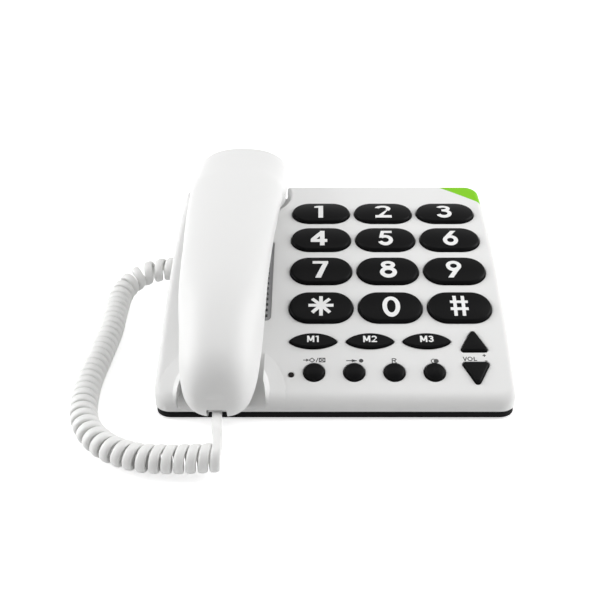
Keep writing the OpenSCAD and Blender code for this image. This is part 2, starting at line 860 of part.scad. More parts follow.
handset_front_y = -handset_l / 2;
handset_screw_s = [57, 144];
handset_seats = [50, 63]; // heights of the faces that the two screw heads press on
receiver_s = 184;
receiver_z = 51.2;
receiver_r = 17;
microphone_s = 27.5;
microphone_z = 20;
microphone_r = 4.8;
weight_s = [92, 136];
weight_z = 65;
socket_size = plug_opening + [2 * 1, 2 * 0.7, -0.3];
notch_w = 10.4; // the cord's notch, open below
notch_l = 11;
notch_top = 14.1;
channel_s = 3.5; // where the cord's channel starts
handset_pivot = 95; // where the handset's turn leaves it on its centre line

// Places its children at a distance from the handset's front end
module along_handset(s, z) {
    translate([handset_x, handset_front_y + s, z])
        children();
}

// Turns the handset's parts to the way it lies
module as_it_lies() {
    pivot_y = handset_front_y + handset_pivot;
    translate([handset_x, pivot_y, 0])
        rotate(-handset_turn)
            translate([-handset_x, -pivot_y, 0])
                children();
}

module handset_upper_shell() {
    color(casing_white)
        difference() {
            union() {
                half_shell(true);
                along_handset(handset_screw_s[0], 61)
                    cylinder(h = 7.5, r = 3, $fn = 32);
                along_handset(handset_screw_s[1], 67.3)
                    cylinder(h = 14, r = 3, $fn = 32);
            }
            along_handset(handset_screw_s[0], 50)
                cylinder(h = 15.5, r = 1.25, $fn = 32);
            along_handset(handset_screw_s[1], 60)
                cylinder(h = 15, r = 1.25, $fn = 32);
        }
}

module handset_lower_shell() {
    color([0.9, 0.9, 0.89])
        difference() {
            union() {
                half_shell(false);
                along_handset(handset_screw_s[0], 47)
                    cylinder(h = 13.8, r = 3.8, $fn = 32);
                along_handset(handset_screw_s[1], 60)
                    cylinder(h = 7.1, r = 3.8, $fn = 32);
                // collars round the two capsules, and two posts under the weight
                along_handset(receiver_s, receiver_z - 1.6)
                    difference() {
                        cylinder(h = 6, r = receiver_r + 1.8);
                        cylinder(h = 20, r = receiver_r + 0.15, center = true);
                    }
                along_handset(microphone_s, microphone_z - 0.4)
                    difference() {
                        cylinder(h = 4.4, r = microphone_r + 1.5);
                        cylinder(h = 20, r = microphone_r + 0.15, center = true);
                    }
                for (s = [100, 128])
                    along_handset(s, 0)
                        translate([-4, -1.5, s > 110 ? 60.6 : 58])
                            cube([8, 3, s > 110 ? weight_z - 60.6 : weight_z - 58]);
            }
            for (i = [0, 1])
                along_handset(handset_screw_s[i], handset_seats[i] - 20) {
                    cylinder(h = 20, r = 2.6, $fn = 32);
                    cylinder(h = 40, r = 1.35, $fn = 32);
                }
            for (turn = [0:60:300])
                along_handset(receiver_s, 40)
                    translate([9 * cos(turn), 9 * sin(turn), 0])
                        cylinder(h = 11, r = 1.4, $fn = 24);
            along_handset(receiver_s, 40)
                cylinder(h = 11, r = 1.4, $fn = 24);
            for (dx = [-3, 0, 3])
                along_handset(microphone_s, 8)
                    translate([dx, 0, 0])
                        cylinder(h = 11, r = 0.8, $fn = 24);
            // the plug's socket, and the way in from the notch under the mouth
            along_handset(handset_plug_s + 1.5, handset_plug_z)
                translate([-socket_size[0] / 2, 0, -socket_size[1] / 2])
                    cube([socket_size[0], socket_size[2], socket_size[1]]);
            along_handset(channel_s, handset_plug_z)
                translate([-4.15, 0, -3.6])
                    cube([8.3, handset_plug_s + 2 - channel_s, 7.2]);
            along_handset(-1, 0)
                translate([-notch_w / 2, 0, 0])
                    cube([notch_w, notch_l + 1, notch_top]);
        }
}

module handset_plug_socket() {
    color(inner_grey)
        along_handset(handset_plug_s + 1.5, handset_plug_z)
            difference() {
                translate([-socket_size[0] / 2, 0, -socket_size[1] / 2])
                    cube([socket_size[0], socket_size[2], socket_size[1]]);
                translate([-plug_opening[0] / 2, -eps, -plug_opening[1] / 2])
                    cube([plug_opening[0], plug_opening[2] - 1.5, plug_opening[1]]);
            }
}

module handset_cord_plug() {
    color([0.8, 0.82, 0.84])
        along_handset(handset_plug_s, handset_plug_z)
            plug_body();
}

module receiver_capsule() {
    color(inner_grey)
        along_handset(receiver_s, receiver_z) {
            cylinder(h = 5, r = receiver_r);
            translate([0, 0, 5 - eps])
                cylinder(h = 4, r = 9);
        }
}

module microphone_capsule() {
    color(inner_grey)
        along_handset(microphone_s, microphone_z)
            cylinder(h = 6.5, r = microphone_r);
}

module handset_weight() {
    color(steel)
        along_handset(weight_s[0], weight_z)
            translate([-8, 0, 0])
                cube([16, weight_s[1] - weight_s[0], 8]);
}

module handset_screws() {
    color(steel)
        for (i = [0, 1])
            along_handset(handset_screw_s[i], handset_seats[i] - 1.9)
                screw(2.4, 1.8, 1.2, 15 - i * 2);
}

// ---------------------------------------------------------------- what is drawn

module key_number(i) {
    k = key_places[i];
    key(k[0], k[1], k[2]);
}

base_top_shell();
base_bottom_cover();
rubber_feet();
cover_screws();
corner_accent();
speaker_grille();
indicator_lens();
key_mat();
keypad_membrane();
main_circuit_board();
ringer_speaker();
hook_plunger();
hook_spring();
hook_switch();
handset_cord_jack();
line_cord_jack();
base_cord_plug();
handset_cord();
as_it_lies() handset_cord_plug();
as_it_lies() handset_upper_shell();
as_it_lies() handset_lower_shell();
as_it_lies() handset_plug_socket();
as_it_lies() receiver_capsule();
as_it_lies() microphone_capsule();
as_it_lies() handset_weight();
as_it_lies() handset_screws();
key_number(0);  // key_1
key_number(1);  // key_2
key_number(2);  // key_3
key_number(3);  // key_4
key_number(4);  // key_5
key_number(5);  // key_6
key_number(6);  // key_7
key_number(7);  // key_8
key_number(8);  // key_9
key_number(9);  // key_star
key_number(10);  // key_0
key_number(11);  // key_hash
key_number(12);  // memory_key_1
key_number(13);  // memory_key_2
key_number(14);  // memory_key_3
key_number(15);  // store_key
key_number(16);  // redial_key
key_number(17);  // recall_key
key_number(18);  // mute_key
key_number(19);  // volume_up_key
key_number(20);  // volume_down_key
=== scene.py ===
"""Looks of a corded landline phone with large keys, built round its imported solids.

Lengths inside the classes are millimetres, in the frame of the solids: +X is the user's
right, +Y the rear and +Z up. They become metres only where a mesh is made.
"""

import logging
import math
from dataclasses import dataclass, field
from enum import Enum
from typing import Any, Callable, Iterable, Sequence

import bmesh
import bpy
import numpy as np
from mathutils import Euler, Matrix, Vector
from mathutils.geometry import delaunay_2d_cdt


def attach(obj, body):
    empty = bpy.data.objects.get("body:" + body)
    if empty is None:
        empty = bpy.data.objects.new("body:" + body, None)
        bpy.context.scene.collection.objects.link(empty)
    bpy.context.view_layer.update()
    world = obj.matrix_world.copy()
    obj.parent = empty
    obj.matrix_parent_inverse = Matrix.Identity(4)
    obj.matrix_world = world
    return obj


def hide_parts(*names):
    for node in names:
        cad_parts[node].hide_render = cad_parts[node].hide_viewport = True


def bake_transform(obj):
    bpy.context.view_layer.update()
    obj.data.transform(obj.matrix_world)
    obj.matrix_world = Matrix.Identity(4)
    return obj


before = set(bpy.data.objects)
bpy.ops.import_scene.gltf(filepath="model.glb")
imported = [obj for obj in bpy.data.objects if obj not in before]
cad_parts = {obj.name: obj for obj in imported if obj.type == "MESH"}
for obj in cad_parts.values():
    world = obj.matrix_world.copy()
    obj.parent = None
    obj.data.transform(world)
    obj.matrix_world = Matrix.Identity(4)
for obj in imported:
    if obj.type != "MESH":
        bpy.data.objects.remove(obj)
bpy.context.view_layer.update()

log = logging.getLogger("phone")
Point2 = tuple[float, float]
Point3 = tuple[float, float, float]
MM = 0.001
WELD_DIST = 2e-6
CUT_DIST = 1e-7
ON_WALL = 2e-5


# --------------------------------------------------------------------- shader maths


class Signal:
    """A node's output that can be used in Python expressions."""

    def __init__(self, graph: "Graph", socket: bpy.types.NodeSocket) -> None:
        """Keeps the socket and the graph that it belongs to."""
        self.graph = graph
        self.socket = socket

    def _math(self, operation: str, *operands: Any) -> "Signal":
        """Adds one Math node.

        Args:
            operation: Blender's name of the operation.
            operands: numbers or signals, in order.

        Returns:
            The node's value.
        """
        inputs = dict(enumerate(operands))
        return self.graph.node("ShaderNodeMath", {"operation": operation}, inputs, "Value")

    def __add__(self, other: Any) -> "Signal":
        """self + other."""
        return self._math("ADD", self, other)

    def __radd__(self, other: Any) -> "Signal":
        """other + self."""
        return self._math("ADD", other, self)

    def __sub__(self, other: Any) -> "Signal":
        """self - other."""
        return self._math("SUBTRACT", self, other)

    def __rsub__(self, other: Any) -> "Signal":
        """other - self."""
        return self._math("SUBTRACT", other, self)

    def __mul__(self, other: Any) -> "Signal":
        """self * other."""
        return self._math("MULTIPLY", self, other)

    def at_least(self, other: Any) -> "Signal":
        """The greater of the value and another."""
        return self._math("MAXIMUM", self, other)

    def clamp(self) -> "Signal":
        """The value, kept between 0 and 1."""
        return self._math("MINIMUM", self.at_least(0.0), 1.0)

    def power(self, exponent: float) -> "Signal":
        """The value raised to a power."""
        return self._math("POWER", self, exponent)


class Graph:
    """The node tree of a material or of the world."""

    def __init__(self, owner: bpy.types.ID) -> None:
        """Empties the tree of its owner."""
        self.owner = owner
        owner.use_nodes = True
        self.tree = owner.node_tree
        self.tree.nodes.clear()

    def _feed(self, sockets: Any, inputs: dict[Any, Any]) -> None:
        """Links or sets input sockets, by name or number."""
        for key, value in inputs.items():
            if isinstance(value, Signal):
                self.tree.links.new(value.socket, sockets[key])
            else:
                sockets[key].default_value = value

    def node(
        self, kind: str, settings: dict[str, Any], inputs: dict[Any, Any], output: str | int = 0
    ) -> Signal:
        """Adds any node.

        Args:
            kind: Blender's type of the node.
            settings: its properties.
            inputs: sockets by name or number, with values or signals.
            output: the name or number of the output that is wanted.

        Returns:
            The wanted output.
        """
        made = self.tree.nodes.new(kind)
        for key, value in settings.items():
            setattr(made, key, value)
        self._feed(made.inputs, inputs)
        return Signal(self, made.outputs[output] if len(made.outputs) else None)

    def noise(self, size_mm: float, detail: float = 2.0, stretch: Point3 = (1, 1, 1)) -> Signal:
        """Noise in the piece's own coordinates.

        Args:
            size_mm: the size of its grains.
            detail: how many finer layers it has.
            stretch: how much longer the grains are along each axis.

        Returns:
            A value around 0.5.
        """
        place = self.node("ShaderNodeTexCoord", {}, {}, "Object")
        scaled = self.node(
            "ShaderNodeMapping", {}, {"Vector": place, "Scale": tuple(1 / s for s in stretch)}
        )
        inputs = {"Vector": scaled, "Scale": 1000 / size_mm, "Detail": detail}
        return self.node("ShaderNodeTexNoise", {}, inputs, 0)

    def mix_colour(self, share: Signal, first: Sequence[float], second: Sequence[float]) -> Signal:
        """Mixes two colours by a share."""
        mixed = self.tree.nodes.new("ShaderNodeMix")
        mixed.data_type = "RGBA"
        sockets = {s.name: s for s in mixed.inputs if s.enabled}
        self._feed(sockets, {"Factor": share, "A": (*first, 1.0), "B": (*second, 1.0)})
        return Signal(self, next(s for s in mixed.outputs if s.enabled))

    def bump(self, height: Signal, strength: float, distance_mm: float) -> Signal:
        """Turns a height into a normal."""
        inputs = {"Height": height, "Strength": strength, "Distance": distance_mm * MM}
        return self.node("ShaderNodeBump", {}, inputs, "Normal")

    def rays(self, *kinds: str) -> Signal:
        """1 for rays of one of those kinds, as Light Path names them, and 0 for others."""
        first, *others = (self.node("ShaderNodeLightPath", {}, {}, kind) for kind in kinds)
        for other in others:
            first = first.at_least(other)
        return first

    def surface(self, inputs: dict[str, Any]) -> bpy.types.Material:
        """Ends the tree in a Principled shader with those inputs."""
        shader = self.node("ShaderNodeBsdfPrincipled", {}, inputs, "BSDF")
        self.node("ShaderNodeOutputMaterial", {}, {"Surface": shader})
        return self.owner


def shade(colour: Sequence[float], factor: float) -> Point3:
    """A colour, made lighter or darker."""
    return tuple(min(1.0, c * factor) for c in colour)


@dataclass(frozen=True)
class Moulding:
    """Moulded plastic or rubber: fine spark-eroded grain and faint broad mottling."""

    name: str
    colour: Point3
    roughness: float = 0.45
    grain_mm: float = 0.45
    grain_depth_mm: float = 0.02
    grain_strength: float = 0.35
    mottling: float = 0.02
    roughness_swing: float = 0.06
    specular: float = 0.5

    def material(self) -> bpy.types.Material:
        """Builds the material."""
        graph = Graph(bpy.data.materials.new(self.name))
        grain = graph.noise(self.grain_mm, 3.0)
        broad = graph.noise(26.0, 2.0)
        share = (grain * 0.6 + broad * 0.4).clamp()
        low, high = shade(self.colour, 1 - self.mottling), shade(self.colour, 1 + self.mottling)
        return graph.surface(
            {
                "Base Color": graph.mix_colour(share, low, high),
                "Roughness": (self.roughness + (grain - 0.5) * self.roughness_swing).clamp(),
                "Specular IOR Level": self.specular,
                "Normal": graph.bump(grain, self.grain_strength, self.grain_depth_mm),
            }
        )


@dataclass(frozen=True)
class BrushedMetal:
    """Plain steel with fine scratches along one axis."""

    name: str
    colour: Point3
    roughness: float = 0.3

    def material(self) -> bpy.types.Material:
        """Builds the material."""
        graph = Graph(bpy.data.materials.new(self.name))
        scratches = graph.noise(0.25, 3.0, (1.0, 12.0, 1.0))
        return graph.surface(
            {
                "Base Color": graph.mix_colour(scratches, shade(self.colour, 0.8), self.colour),
                "Metallic": 1.0,
                "Roughness": (self.roughness + (scratches - 0.5) * 0.25).clamp(),
                "Normal": graph.bump(scratches, 0.3, 0.01),
            }
        )


@dataclass(frozen=True)
class ClearPlastic:
    """The clear, slightly milky plastic of a modular plug."""

    name: str
    colour: Point3

    def material(self) -> bpy.types.Material:
        """Builds the material."""
        graph = Graph(bpy.data.materials.new(self.name))
        cloud = graph.noise(1.5, 2.0)
        return graph.surface(
            {
                "Base Color": graph.mix_colour(cloud, shade(self.colour, 0.9), self.colour),
                "Roughness": (0.12 + cloud * 0.1).clamp(),
                "Transmission Weight": 0.45,
                "IOR": 1.5,
                "Normal": graph.bump(cloud, 0.1, 0.02),
            }
        )


@dataclass(frozen=True)
class CircuitBoard:
    """Green lacquer over copper tracks."""

    name: str
    colour: Point3
    copper: Point3

    def material(self) -> bpy.types.Material:
        """Builds the material."""
        graph = Graph(bpy.data.materials.new(self.name))
        place = graph.node("ShaderNodeTexCoord", {}, {}, "Object")
        cells = graph.node(
            "ShaderNodeTexVoronoi",
            {"feature": "DISTANCE_TO_EDGE"},
            {"Vector": place, "Scale": 240.0},
            "Distance",
        )
        track = (1 - cells * 9.0).clamp().power(3.0)
        return graph.surface(
            {
                "Base Color": graph.mix_colour(track, self.colour, self.copper),
                "Roughness": (0.3 + track * 0.15).clamp(),
                "Normal": graph.bump(track, 0.3, 0.03),
            }
        )


class Finishes:
    """Every finish on the phone, made once."""

    CASING = Moulding("casing_white", (0.80, 0.80, 0.795), 0.42, 0.5, 0.02, 0.35, 0.012, specular=0.25)
    HANDSET = Moulding("handset_white", (0.80, 0.80, 0.795), 0.36, 0.5, 0.015, 0.25, 0.008, specular=0.25)
    COVER = Moulding("cover_black", (0.006, 0.006, 0.0065), 0.5, 0.6, 0.03, 0.4, 0.2, specular=0.06)
    RUBBER = Moulding("foot_rubber", (0.03, 0.03, 0.03), 0.8, 0.8, 0.04, 0.6, 0.2)
    ACCENT = Moulding("accent_green", (0.21, 0.57, 0.003), 0.38, 0.5, 0.015, 0.25, 0.02, specular=0.12)
    # painted shade: the grille's flat mid grey stands for white slotted ribs, darkened by their slots'
    # hollows and by the handset's shadow over them
    GRILLE = Moulding("grille_grey", (0.30, 0.30, 0.305), 0.6, 0.4, 0.02, 0.5, 0.15)
    LENS = Moulding("lens_dark", (0.008, 0.005, 0.005), 0.15, 0.8, 0.01, 0.1, 0.1, specular=0.08)
    SILICONE = Moulding("mat_silicone", (0.06, 0.06, 0.06), 0.7, 0.6, 0.02, 0.4, 0.1)
    INNER = Moulding("inner_plastic", (0.12, 0.12, 0.125), 0.5, 0.6, 0.02, 0.4, 0.1)
    KEY = Moulding("key_black", (0.0045, 0.0045, 0.0048), 0.32, 0.35, 0.012, 0.3, 0.15, specular=0.05)
    DIGIT = Moulding("digit_white", (0.84, 0.84, 0.835), 0.5, 0.3, 0.01, 0.2, 0.02)
    INK = Moulding("panel_ink", (0.02, 0.02, 0.02), 0.55, 0.3, 0.01, 0.2, 0.15)
    CORD = Moulding("cord_white", (0.80, 0.80, 0.79), 0.40, 0.6, 0.02, 0.3, 0.02)
    PLUG = ClearPlastic("plug_clear", (0.75, 0.78, 0.80))
    STEEL = BrushedMetal("screw_steel", (0.62, 0.62, 0.63))
    BOARD = CircuitBoard("board_green", (0.02, 0.12, 0.05), (0.35, 0.25, 0.08))

    def __init__(self) -> None:
        """Starts with nothing made."""
        self._made: dict[str, bpy.types.Material] = {}

    def get(self, finish: Any) -> bpy.types.Material:
        """The material of a finish, built when it is first asked for."""
        if finish.name not in self._made:
            self._made[finish.name] = finish.material()
        return self._made[finish.name]

    def dress(self, thing: bpy.types.Object, finish: Any) -> bpy.types.Object:
        """Gives an object one finish."""
        thing.data.materials.clear()
        thing.data.materials.append(self.get(finish))
        return thing


# --------------------------------------------------------------------- mesh helpers


@dataclass
class Skin:
    """Points and faces of a piece while it is being built."""

    points: list[Point3] = field(default_factory=list)
    faces: list[tuple[int, ...]] = field(default_factory=list)

    def ring(self, points: Iterable[Sequence[float]]) -> list[int]:
        """Adds a row of points and returns their numbers."""
        start = len(self.points)
        self.points.extend(tuple(float(c) for c in p) for p in points)
        return list(range(start, len(self.points)))

    def bridge(self, low: Sequence[int], high: Sequence[int], closed: bool = True) -> None:
        """Joins two rows of equal length with faces."""
        n = len(low)
        for i in range(n if closed else n - 1):
            j = (i + 1) % n
            self.faces.append((low[i], low[j], high[j], high[i]))

    def cap(self, row: Sequence[int], turned: bool = False) -> None:
        """Closes a row with one face."""
        self.faces.append(tuple(reversed(row)) if turned else tuple(row))

    def tube(self, rows: Sequence[Sequence[int]]) -> None:
        """Joins rows one after another and closes both ends."""
        for low, high in zip(rows, rows[1:]):
            self.bridge(low, high)
        self.cap(rows[0], True)
        self.cap(rows[-1])

    def make(self, name: str, sharp_degrees: float = 40.0) -> bpy.types.Object:
        """Makes the object.

        Args:
            name: the piece's name.
            sharp_degrees: edges that turn further than this stay sharp.

        Returns:
            The linked object, in metres, with welded points and outward faces.
        """
        mesh = bpy.data.meshes.new(name)
        mesh.from_pydata([tuple(c * MM for c in p) for p in self.points], [], self.faces)
        return finish_mesh(name, mesh, sharp_degrees)


def finish_mesh(name: str, mesh: bpy.types.Mesh, sharp_degrees: float) -> bpy.types.Object:
    """Welds, orients and smooths a mesh, and links it as an object.

    Args:
        name: the piece's name.
        mesh: the mesh, in metres.
        sharp_degrees: edges that turn further than this stay sharp.

    Returns:
        The object.
    """
    work = bmesh.new()
    work.from_mesh(mesh)
    bmesh.ops.remove_doubles(work, verts=work.verts, dist=WELD_DIST)
    bmesh.ops.dissolve_degenerate(work, dist=1e-6, edges=work.edges)
    bmesh.ops.recalc_face_normals(work, faces=work.faces)
    work.to_mesh(mesh)
    work.free()
    mesh.shade_smooth()
    mesh.set_sharp_from_angle(angle=math.radians(sharp_degrees))
    thing = bpy.data.objects.new(name, mesh)
    bpy.context.scene.collection.objects.link(thing)
    return thing


def smooth_curve(points: np.ndarray, place: float) -> np.ndarray:
    """A Catmull-Rom curve through points.

    Args:
        points: one row for each point.
        place: where on the curve, counted in points.

    Returns:
        The curve's point there.
    """
    last = len(points) - 1
    i = min(int(place), last - 1)
    f = place - i
    p0, p1, p2, p3 = (points[min(max(k, 0), last)] for k in (i - 1, i, i + 1, i + 2))
    return 0.5 * (
        2 * p1
        + (p2 - p0) * f
        + (2 * p0 - 5 * p1 + 4 * p2 - p3) * f**2
        + (3 * p1 - p0 - 3 * p2 + p3) * f**3
    )


def unit(v: np.ndarray) -> np.ndarray:
    """v with a length of 1."""
    return v / np.linalg.norm(v)


def rectangle(low: Point2, high: Point2) -> list[Point2]:
    """A rectangle's corners, anticlockwise."""
    return [low, (high[0], low[1]), high, (low[0], high[1])]


def around(count: int) -> list[float]:
    """Angles in equal steps all the way round, in radians."""
    return [2 * math.pi * k / count for k in range(count)]


def ellipse(centre: Point2, radii: Point2, angles: Iterable[float]) -> list[Point2]:
    """Points of an ellipse at some angles, in radians."""
    (x, y), (a, b) = centre, radii
    return [(x + a * math.cos(t), y + b * math.sin(t)) for t in angles]


def circle(centre: Point2, radius: float, angles: Iterable[float]) -> list[Point2]:
    """Points of a circle at some angles, in radians."""
    return ellipse(centre, (radius, radius), angles)


def place_piece(thing: bpy.types.Object, body: str, nodes: Sequence[str]) -> None:
    """Ties a piece to the frame.

    Args:
        thing: the piece.
        body: the body that it moves with.
        nodes: the solids that it stands for.
    """
    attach(thing, body)
    if nodes:
        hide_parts(*nodes)
    log.info("%s rides on %s", thing.name, body)


# --------------------------------------------------------------------- the studio


@dataclass
class Studio:
    """Camera, lamps, floor and world."""

    camera_place: Point3 = (-0.0075, -0.523, 0.311)
    camera_pitch: float = 29.25
    lens: float = 60.0
    shift_x: float = -0.035
    world_light: float = 0.03
    floor_glow: float = 0.6
    floor_half: float = 900.0

    def build(self) -> None:
        """Builds everything that isn't the phone."""
        self._camera()
        self._world()
        self._floor()
        self._lamps()
        bpy.context.scene.view_settings.view_transform = "Standard"

    def _camera(self) -> None:
        """Adds the camera, level and without turn to the side."""
        data = bpy.data.cameras.new("camera")
        data.lens, data.sensor_width, data.shift_x = self.lens, 36.0, self.shift_x
        data.clip_start, data.clip_end = 0.01, 20.0
        camera = bpy.data.objects.new("camera", data)
        camera.location = self.camera_place
        camera.rotation_euler = Euler((math.radians(90 - self.camera_pitch), 0, 0))
        bpy.context.scene.collection.objects.link(camera)
        bpy.context.scene.camera = camera

    def _world(self) -> None:
        """Surrounds the phone with even light, white where it is seen or mirrored."""
        world = bpy.data.worlds.new("studio")
        bpy.context.scene.world = world
        graph = Graph(world)
        seen = graph.rays("Is Camera Ray", "Is Transmission Ray", "Is Glossy Ray")
        light = graph.node("ShaderNodeBackground", {}, {"Strength": self.world_light})
        white = graph.node("ShaderNodeBackground", {}, {"Strength": 1.0})
        mixed = graph.node("ShaderNodeMixShader", {}, {0: seen, 1: light, 2: white})
        graph.node("ShaderNodeOutputWorld", {}, {"Surface": mixed})

    def _floor(self) -> None:
        """Lays a pale floor that keeps a soft shadow."""
        graph = Graph(bpy.data.materials.new("floor_white"))
        broad = graph.noise(60.0, 2.0)
        paper = graph.node(
            "ShaderNodeBsdfDiffuse",
            {},
            {"Color": graph.mix_colour(broad, (0.80, 0.80, 0.80), (0.82, 0.82, 0.82))},
        )
        glow = graph.node("ShaderNodeEmission", {}, {"Strength": self.floor_glow})
        seen = graph.rays("Is Camera Ray", "Is Glossy Ray")
        lifted = graph.node("ShaderNodeAddShader", {}, {0: paper, 1: glow})
        mixed = graph.node("ShaderNodeMixShader", {}, {0: seen, 1: paper, 2: lifted})
        graph.node("ShaderNodeOutputMaterial", {}, {"Surface": mixed})
        half, skin = self.floor_half, Skin()
        skin.cap(skin.ring((x, y, 0) for x, y in rectangle((-half, -half), (half, half))))
        floor = skin.make("floor")
        floor.data.materials.append(graph.owner)

    def _lamps(self) -> None:
        """Hangs soft panels round the phone, the strongest at its sides."""
        panels = (
            ("lamp_top", (0.0, 0.1, 1.3), 0.0, 1.0, 4.5),
            ("lamp_left", (-1.3, 0.1, 0.45), 0.05, 0.9, 10.2),
            ("lamp_right", (1.3, 0.1, 0.45), 0.05, 0.9, 11.2),
            ("lamp_top_left", (-0.9, 0.2, 1.0), 0.0, 0.9, 5.5),
            ("lamp_top_right", (0.9, 0.2, 1.0), 0.0, 0.9, 5.9),
            ("lamp_front_left", (-1.0, -0.8, 0.5), 0.05, 0.9, 3.3),
            ("lamp_front_right", (1.0, -0.8, 0.5), 0.05, 0.9, 2.6),
        )
        for name, place, aim_z, size, watts in panels:
            data = bpy.data.lights.new(name, "AREA")
            data.shape, data.size, data.energy = "SQUARE", size, watts
            lamp = bpy.data.objects.new(name, data)
            lamp.location = place
            way = Vector((0, 0, aim_z)) - Vector(place)
            lamp.rotation_euler = way.to_track_quat("-Z", "Y").to_euler()
            bpy.context.scene.collection.objects.link(lamp)


# --------------------------------------------------------------------- the curly cord


@dataclass
class CurlyCord:
    """The handset's flat cord, wound in a long helix."""

    coil_d: float = 14.5
    width: float = 5.1
    thickness: float = 3.0
    pitch: float = 5.6
    rings_a_curl: int = 8
    finer: int = 4
    closing: int = 6
    bend_span: int = 6
    gap: float = 0.4
    inner_share: float = 0.44
    spread: int = 4
    line_steps: int = 12
    tail_steps: int = 4
    section_points: int = 14
    section_power: float = 0.8
    jack_x: float = -95.5
    end_y: float = 44.5
    end_z: float = 16.5
    mouth_x: float = -90.0
    route: tuple[Point3, ...] = (
        (-56.6, -141, 10.5), (-70, -141, 9.6), (-83, -140, 8.6), (-97, -137, 7.6), (-111, -130, 7.3),
        (-122, -119, 7.3), (-129, -105, 7.3), (-132, -88, 7.3), (-133, -68, 7.3), (-132, -44, 7.3),
        (-131, -20, 7.5), (-131.6, -2, 7.9), (-132, 14, 8.6), (-131.5, 22.5, 9.5), (-129.5, 30.5, 10.6),
        (-125, 37.6, 12), (-118.6, 42.3, 13.7), (-111, 44.2, 15.2), (-103.5, 44.5, 16.2), (-97, 44.5, 16.5),
    )
    tail: tuple[Point3, ...] = (
        (-60.6, -101.95, 14.5), (-60.6, -102.7, 14.3), (-60.6, -103.7, 13.2), (-60.6, -104.9, 11.8),
        (-60.5, -106.3, 11.1), (-60.3, -109, 10.9), (-59.9, -115, 11.6), (-59.3, -121, 13),
        (-58.5, -127, 14.8), (-57.6, -133, 16.3),
    )

    def _line(self) -> np.ndarray:
        """The middle line of the curls, as close points."""
        steps = self.line_steps
        route = np.array(self.route, float)
        count = (len(route) - 1) * steps + 1
        return np.array([smooth_curve(route, i / steps) for i in range(count)])

    def _turns(self, line: np.ndarray) -> np.ndarray:
        """How many curls the cord has made at each point of the middle line."""
        step = np.linalg.norm(np.diff(line, axis=0), axis=1)
        n = self.bend_span
        way = line[n:] - line[:-n]
        reach = np.linalg.norm(way, axis=1)
        facing = way / reach[:, None]
        bend = np.zeros(len(line))
        bend[n:-n] = np.linalg.norm(facing[n:] - facing[:-n], axis=1) * 2 / (reach[n:] + reach[:-n])
        need = (self.width + self.gap) / (1 - bend * self.coil_d * self.inner_share)
        pitch = np.maximum(self.pitch, need)
        n = self.spread
        wide = np.array([pitch[max(i - n, 0) : i + n + 1].max() for i in range(len(line))])
        return np.concatenate([[0.0], np.cumsum(step / wide[:-1])])

    def _curls(self) -> tuple[list[np.ndarray], list[np.ndarray]]:
        """The part of the cord that is wound.

        Returns:
            Its points, and the way that the cord's thin side faces at each.
        """
        line = self._line()
        turns = self._turns(line)
        last = int(turns[-1] * self.rings_a_curl)
        count = last * self.finer
        radius = (self.coil_d - self.thickness) / 2
        points, facing = [], []
        for k in range(count + 1):
            ring = k / self.finer
            place = float(np.interp(ring / self.rings_a_curl, turns, np.arange(len(line))))
            low = min(int(place), len(line) - 2)
            centre = line[low] + (place - low) * (line[low + 1] - line[low])
            a, b = max(low - 1, 0), min(low + 2, len(line) - 1)
            along = unit(line[b] - line[a])
            side = unit(np.cross(along, (0, 0, 1)))
            up = np.cross(side, along)
            angle = math.radians(90 + 360 / self.rings_a_curl * ring)
            out = math.cos(angle) * side + math.sin(angle) * up
            share = min(1.0, (last - ring) / self.closing)
            shrink = share * share * (3 - 2 * share)
            points.append(centre + radius * shrink * out)
            facing.append(out)
        return points, facing

    def centres(self) -> tuple[np.ndarray, np.ndarray]:
        """The cord's own middle line, from the handset to the base.

        Returns:
            Its points, and the way that the cord's thin side faces at each.
        """
        points, facing = self._curls()
        tail, steps = np.array(self.tail, float), self.tail_steps
        # the tail runs on to the first curl, as one smooth line
        lead = np.vstack([tail, points[:1], points[self.finer : self.finer + 1]])
        smooth = [smooth_curve(lead, i / steps) for i in range(len(tail) * steps)]
        start = [np.array((0.0, 0.0, 1.0))] * len(smooth)
        end = [np.array((x, self.end_y, self.end_z)) for x in (self.jack_x, self.mouth_x)]
        points = smooth + points + end
        facing = start + facing + [facing[-1]] * 2
        return np.array(points), np.array(facing)

    def _section(self) -> list[Point2]:
        """The cord's flat oval section."""
        def bent(value: float) -> float:
            return math.copysign(abs(value) ** self.section_power, value)

        return [
            (self.width / 2 * bent(math.cos(a)), self.thickness / 2 * bent(math.sin(a)))
            for a in around(self.section_points)
        ]

    def build(self, finishes: Finishes) -> None:
        points, facing = self.centres()
        skin, section, rows = Skin(), self._section(), []
        last = len(points) - 1
        for i, (centre, thin) in enumerate(zip(points, facing)):
            along = unit(points[min(i + 1, last)] - points[max(i - 1, 0)])
            thin = unit(thin - (thin @ along) * along)
            wide = np.cross(along, thin)
            rows.append(skin.ring([centre + u * wide + v * thin for u, v in section]))
        skin.tube(rows)
        cord = finishes.dress(skin.make("handset_cord_curls", 60), Finishes.CORD)
        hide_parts("handset_cord")
        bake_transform(cord)


# --------------------------------------------------------------------- the base's form


class KeyShape(Enum):
    """Outlines of the keys and of the other openings in the panel."""

    PILL = "pill"
    OVAL = "oval"
    ROUND = "round"
    UP = "up"
    DOWN = "down"
    WINDOW = "window"
    LENS = "lens"


@dataclass(frozen=True)
class KeySizes:
    """Sizes that all keys of one outline share."""

    width: float
    height: float
    rim: float
    crown: float
    shoulder: float


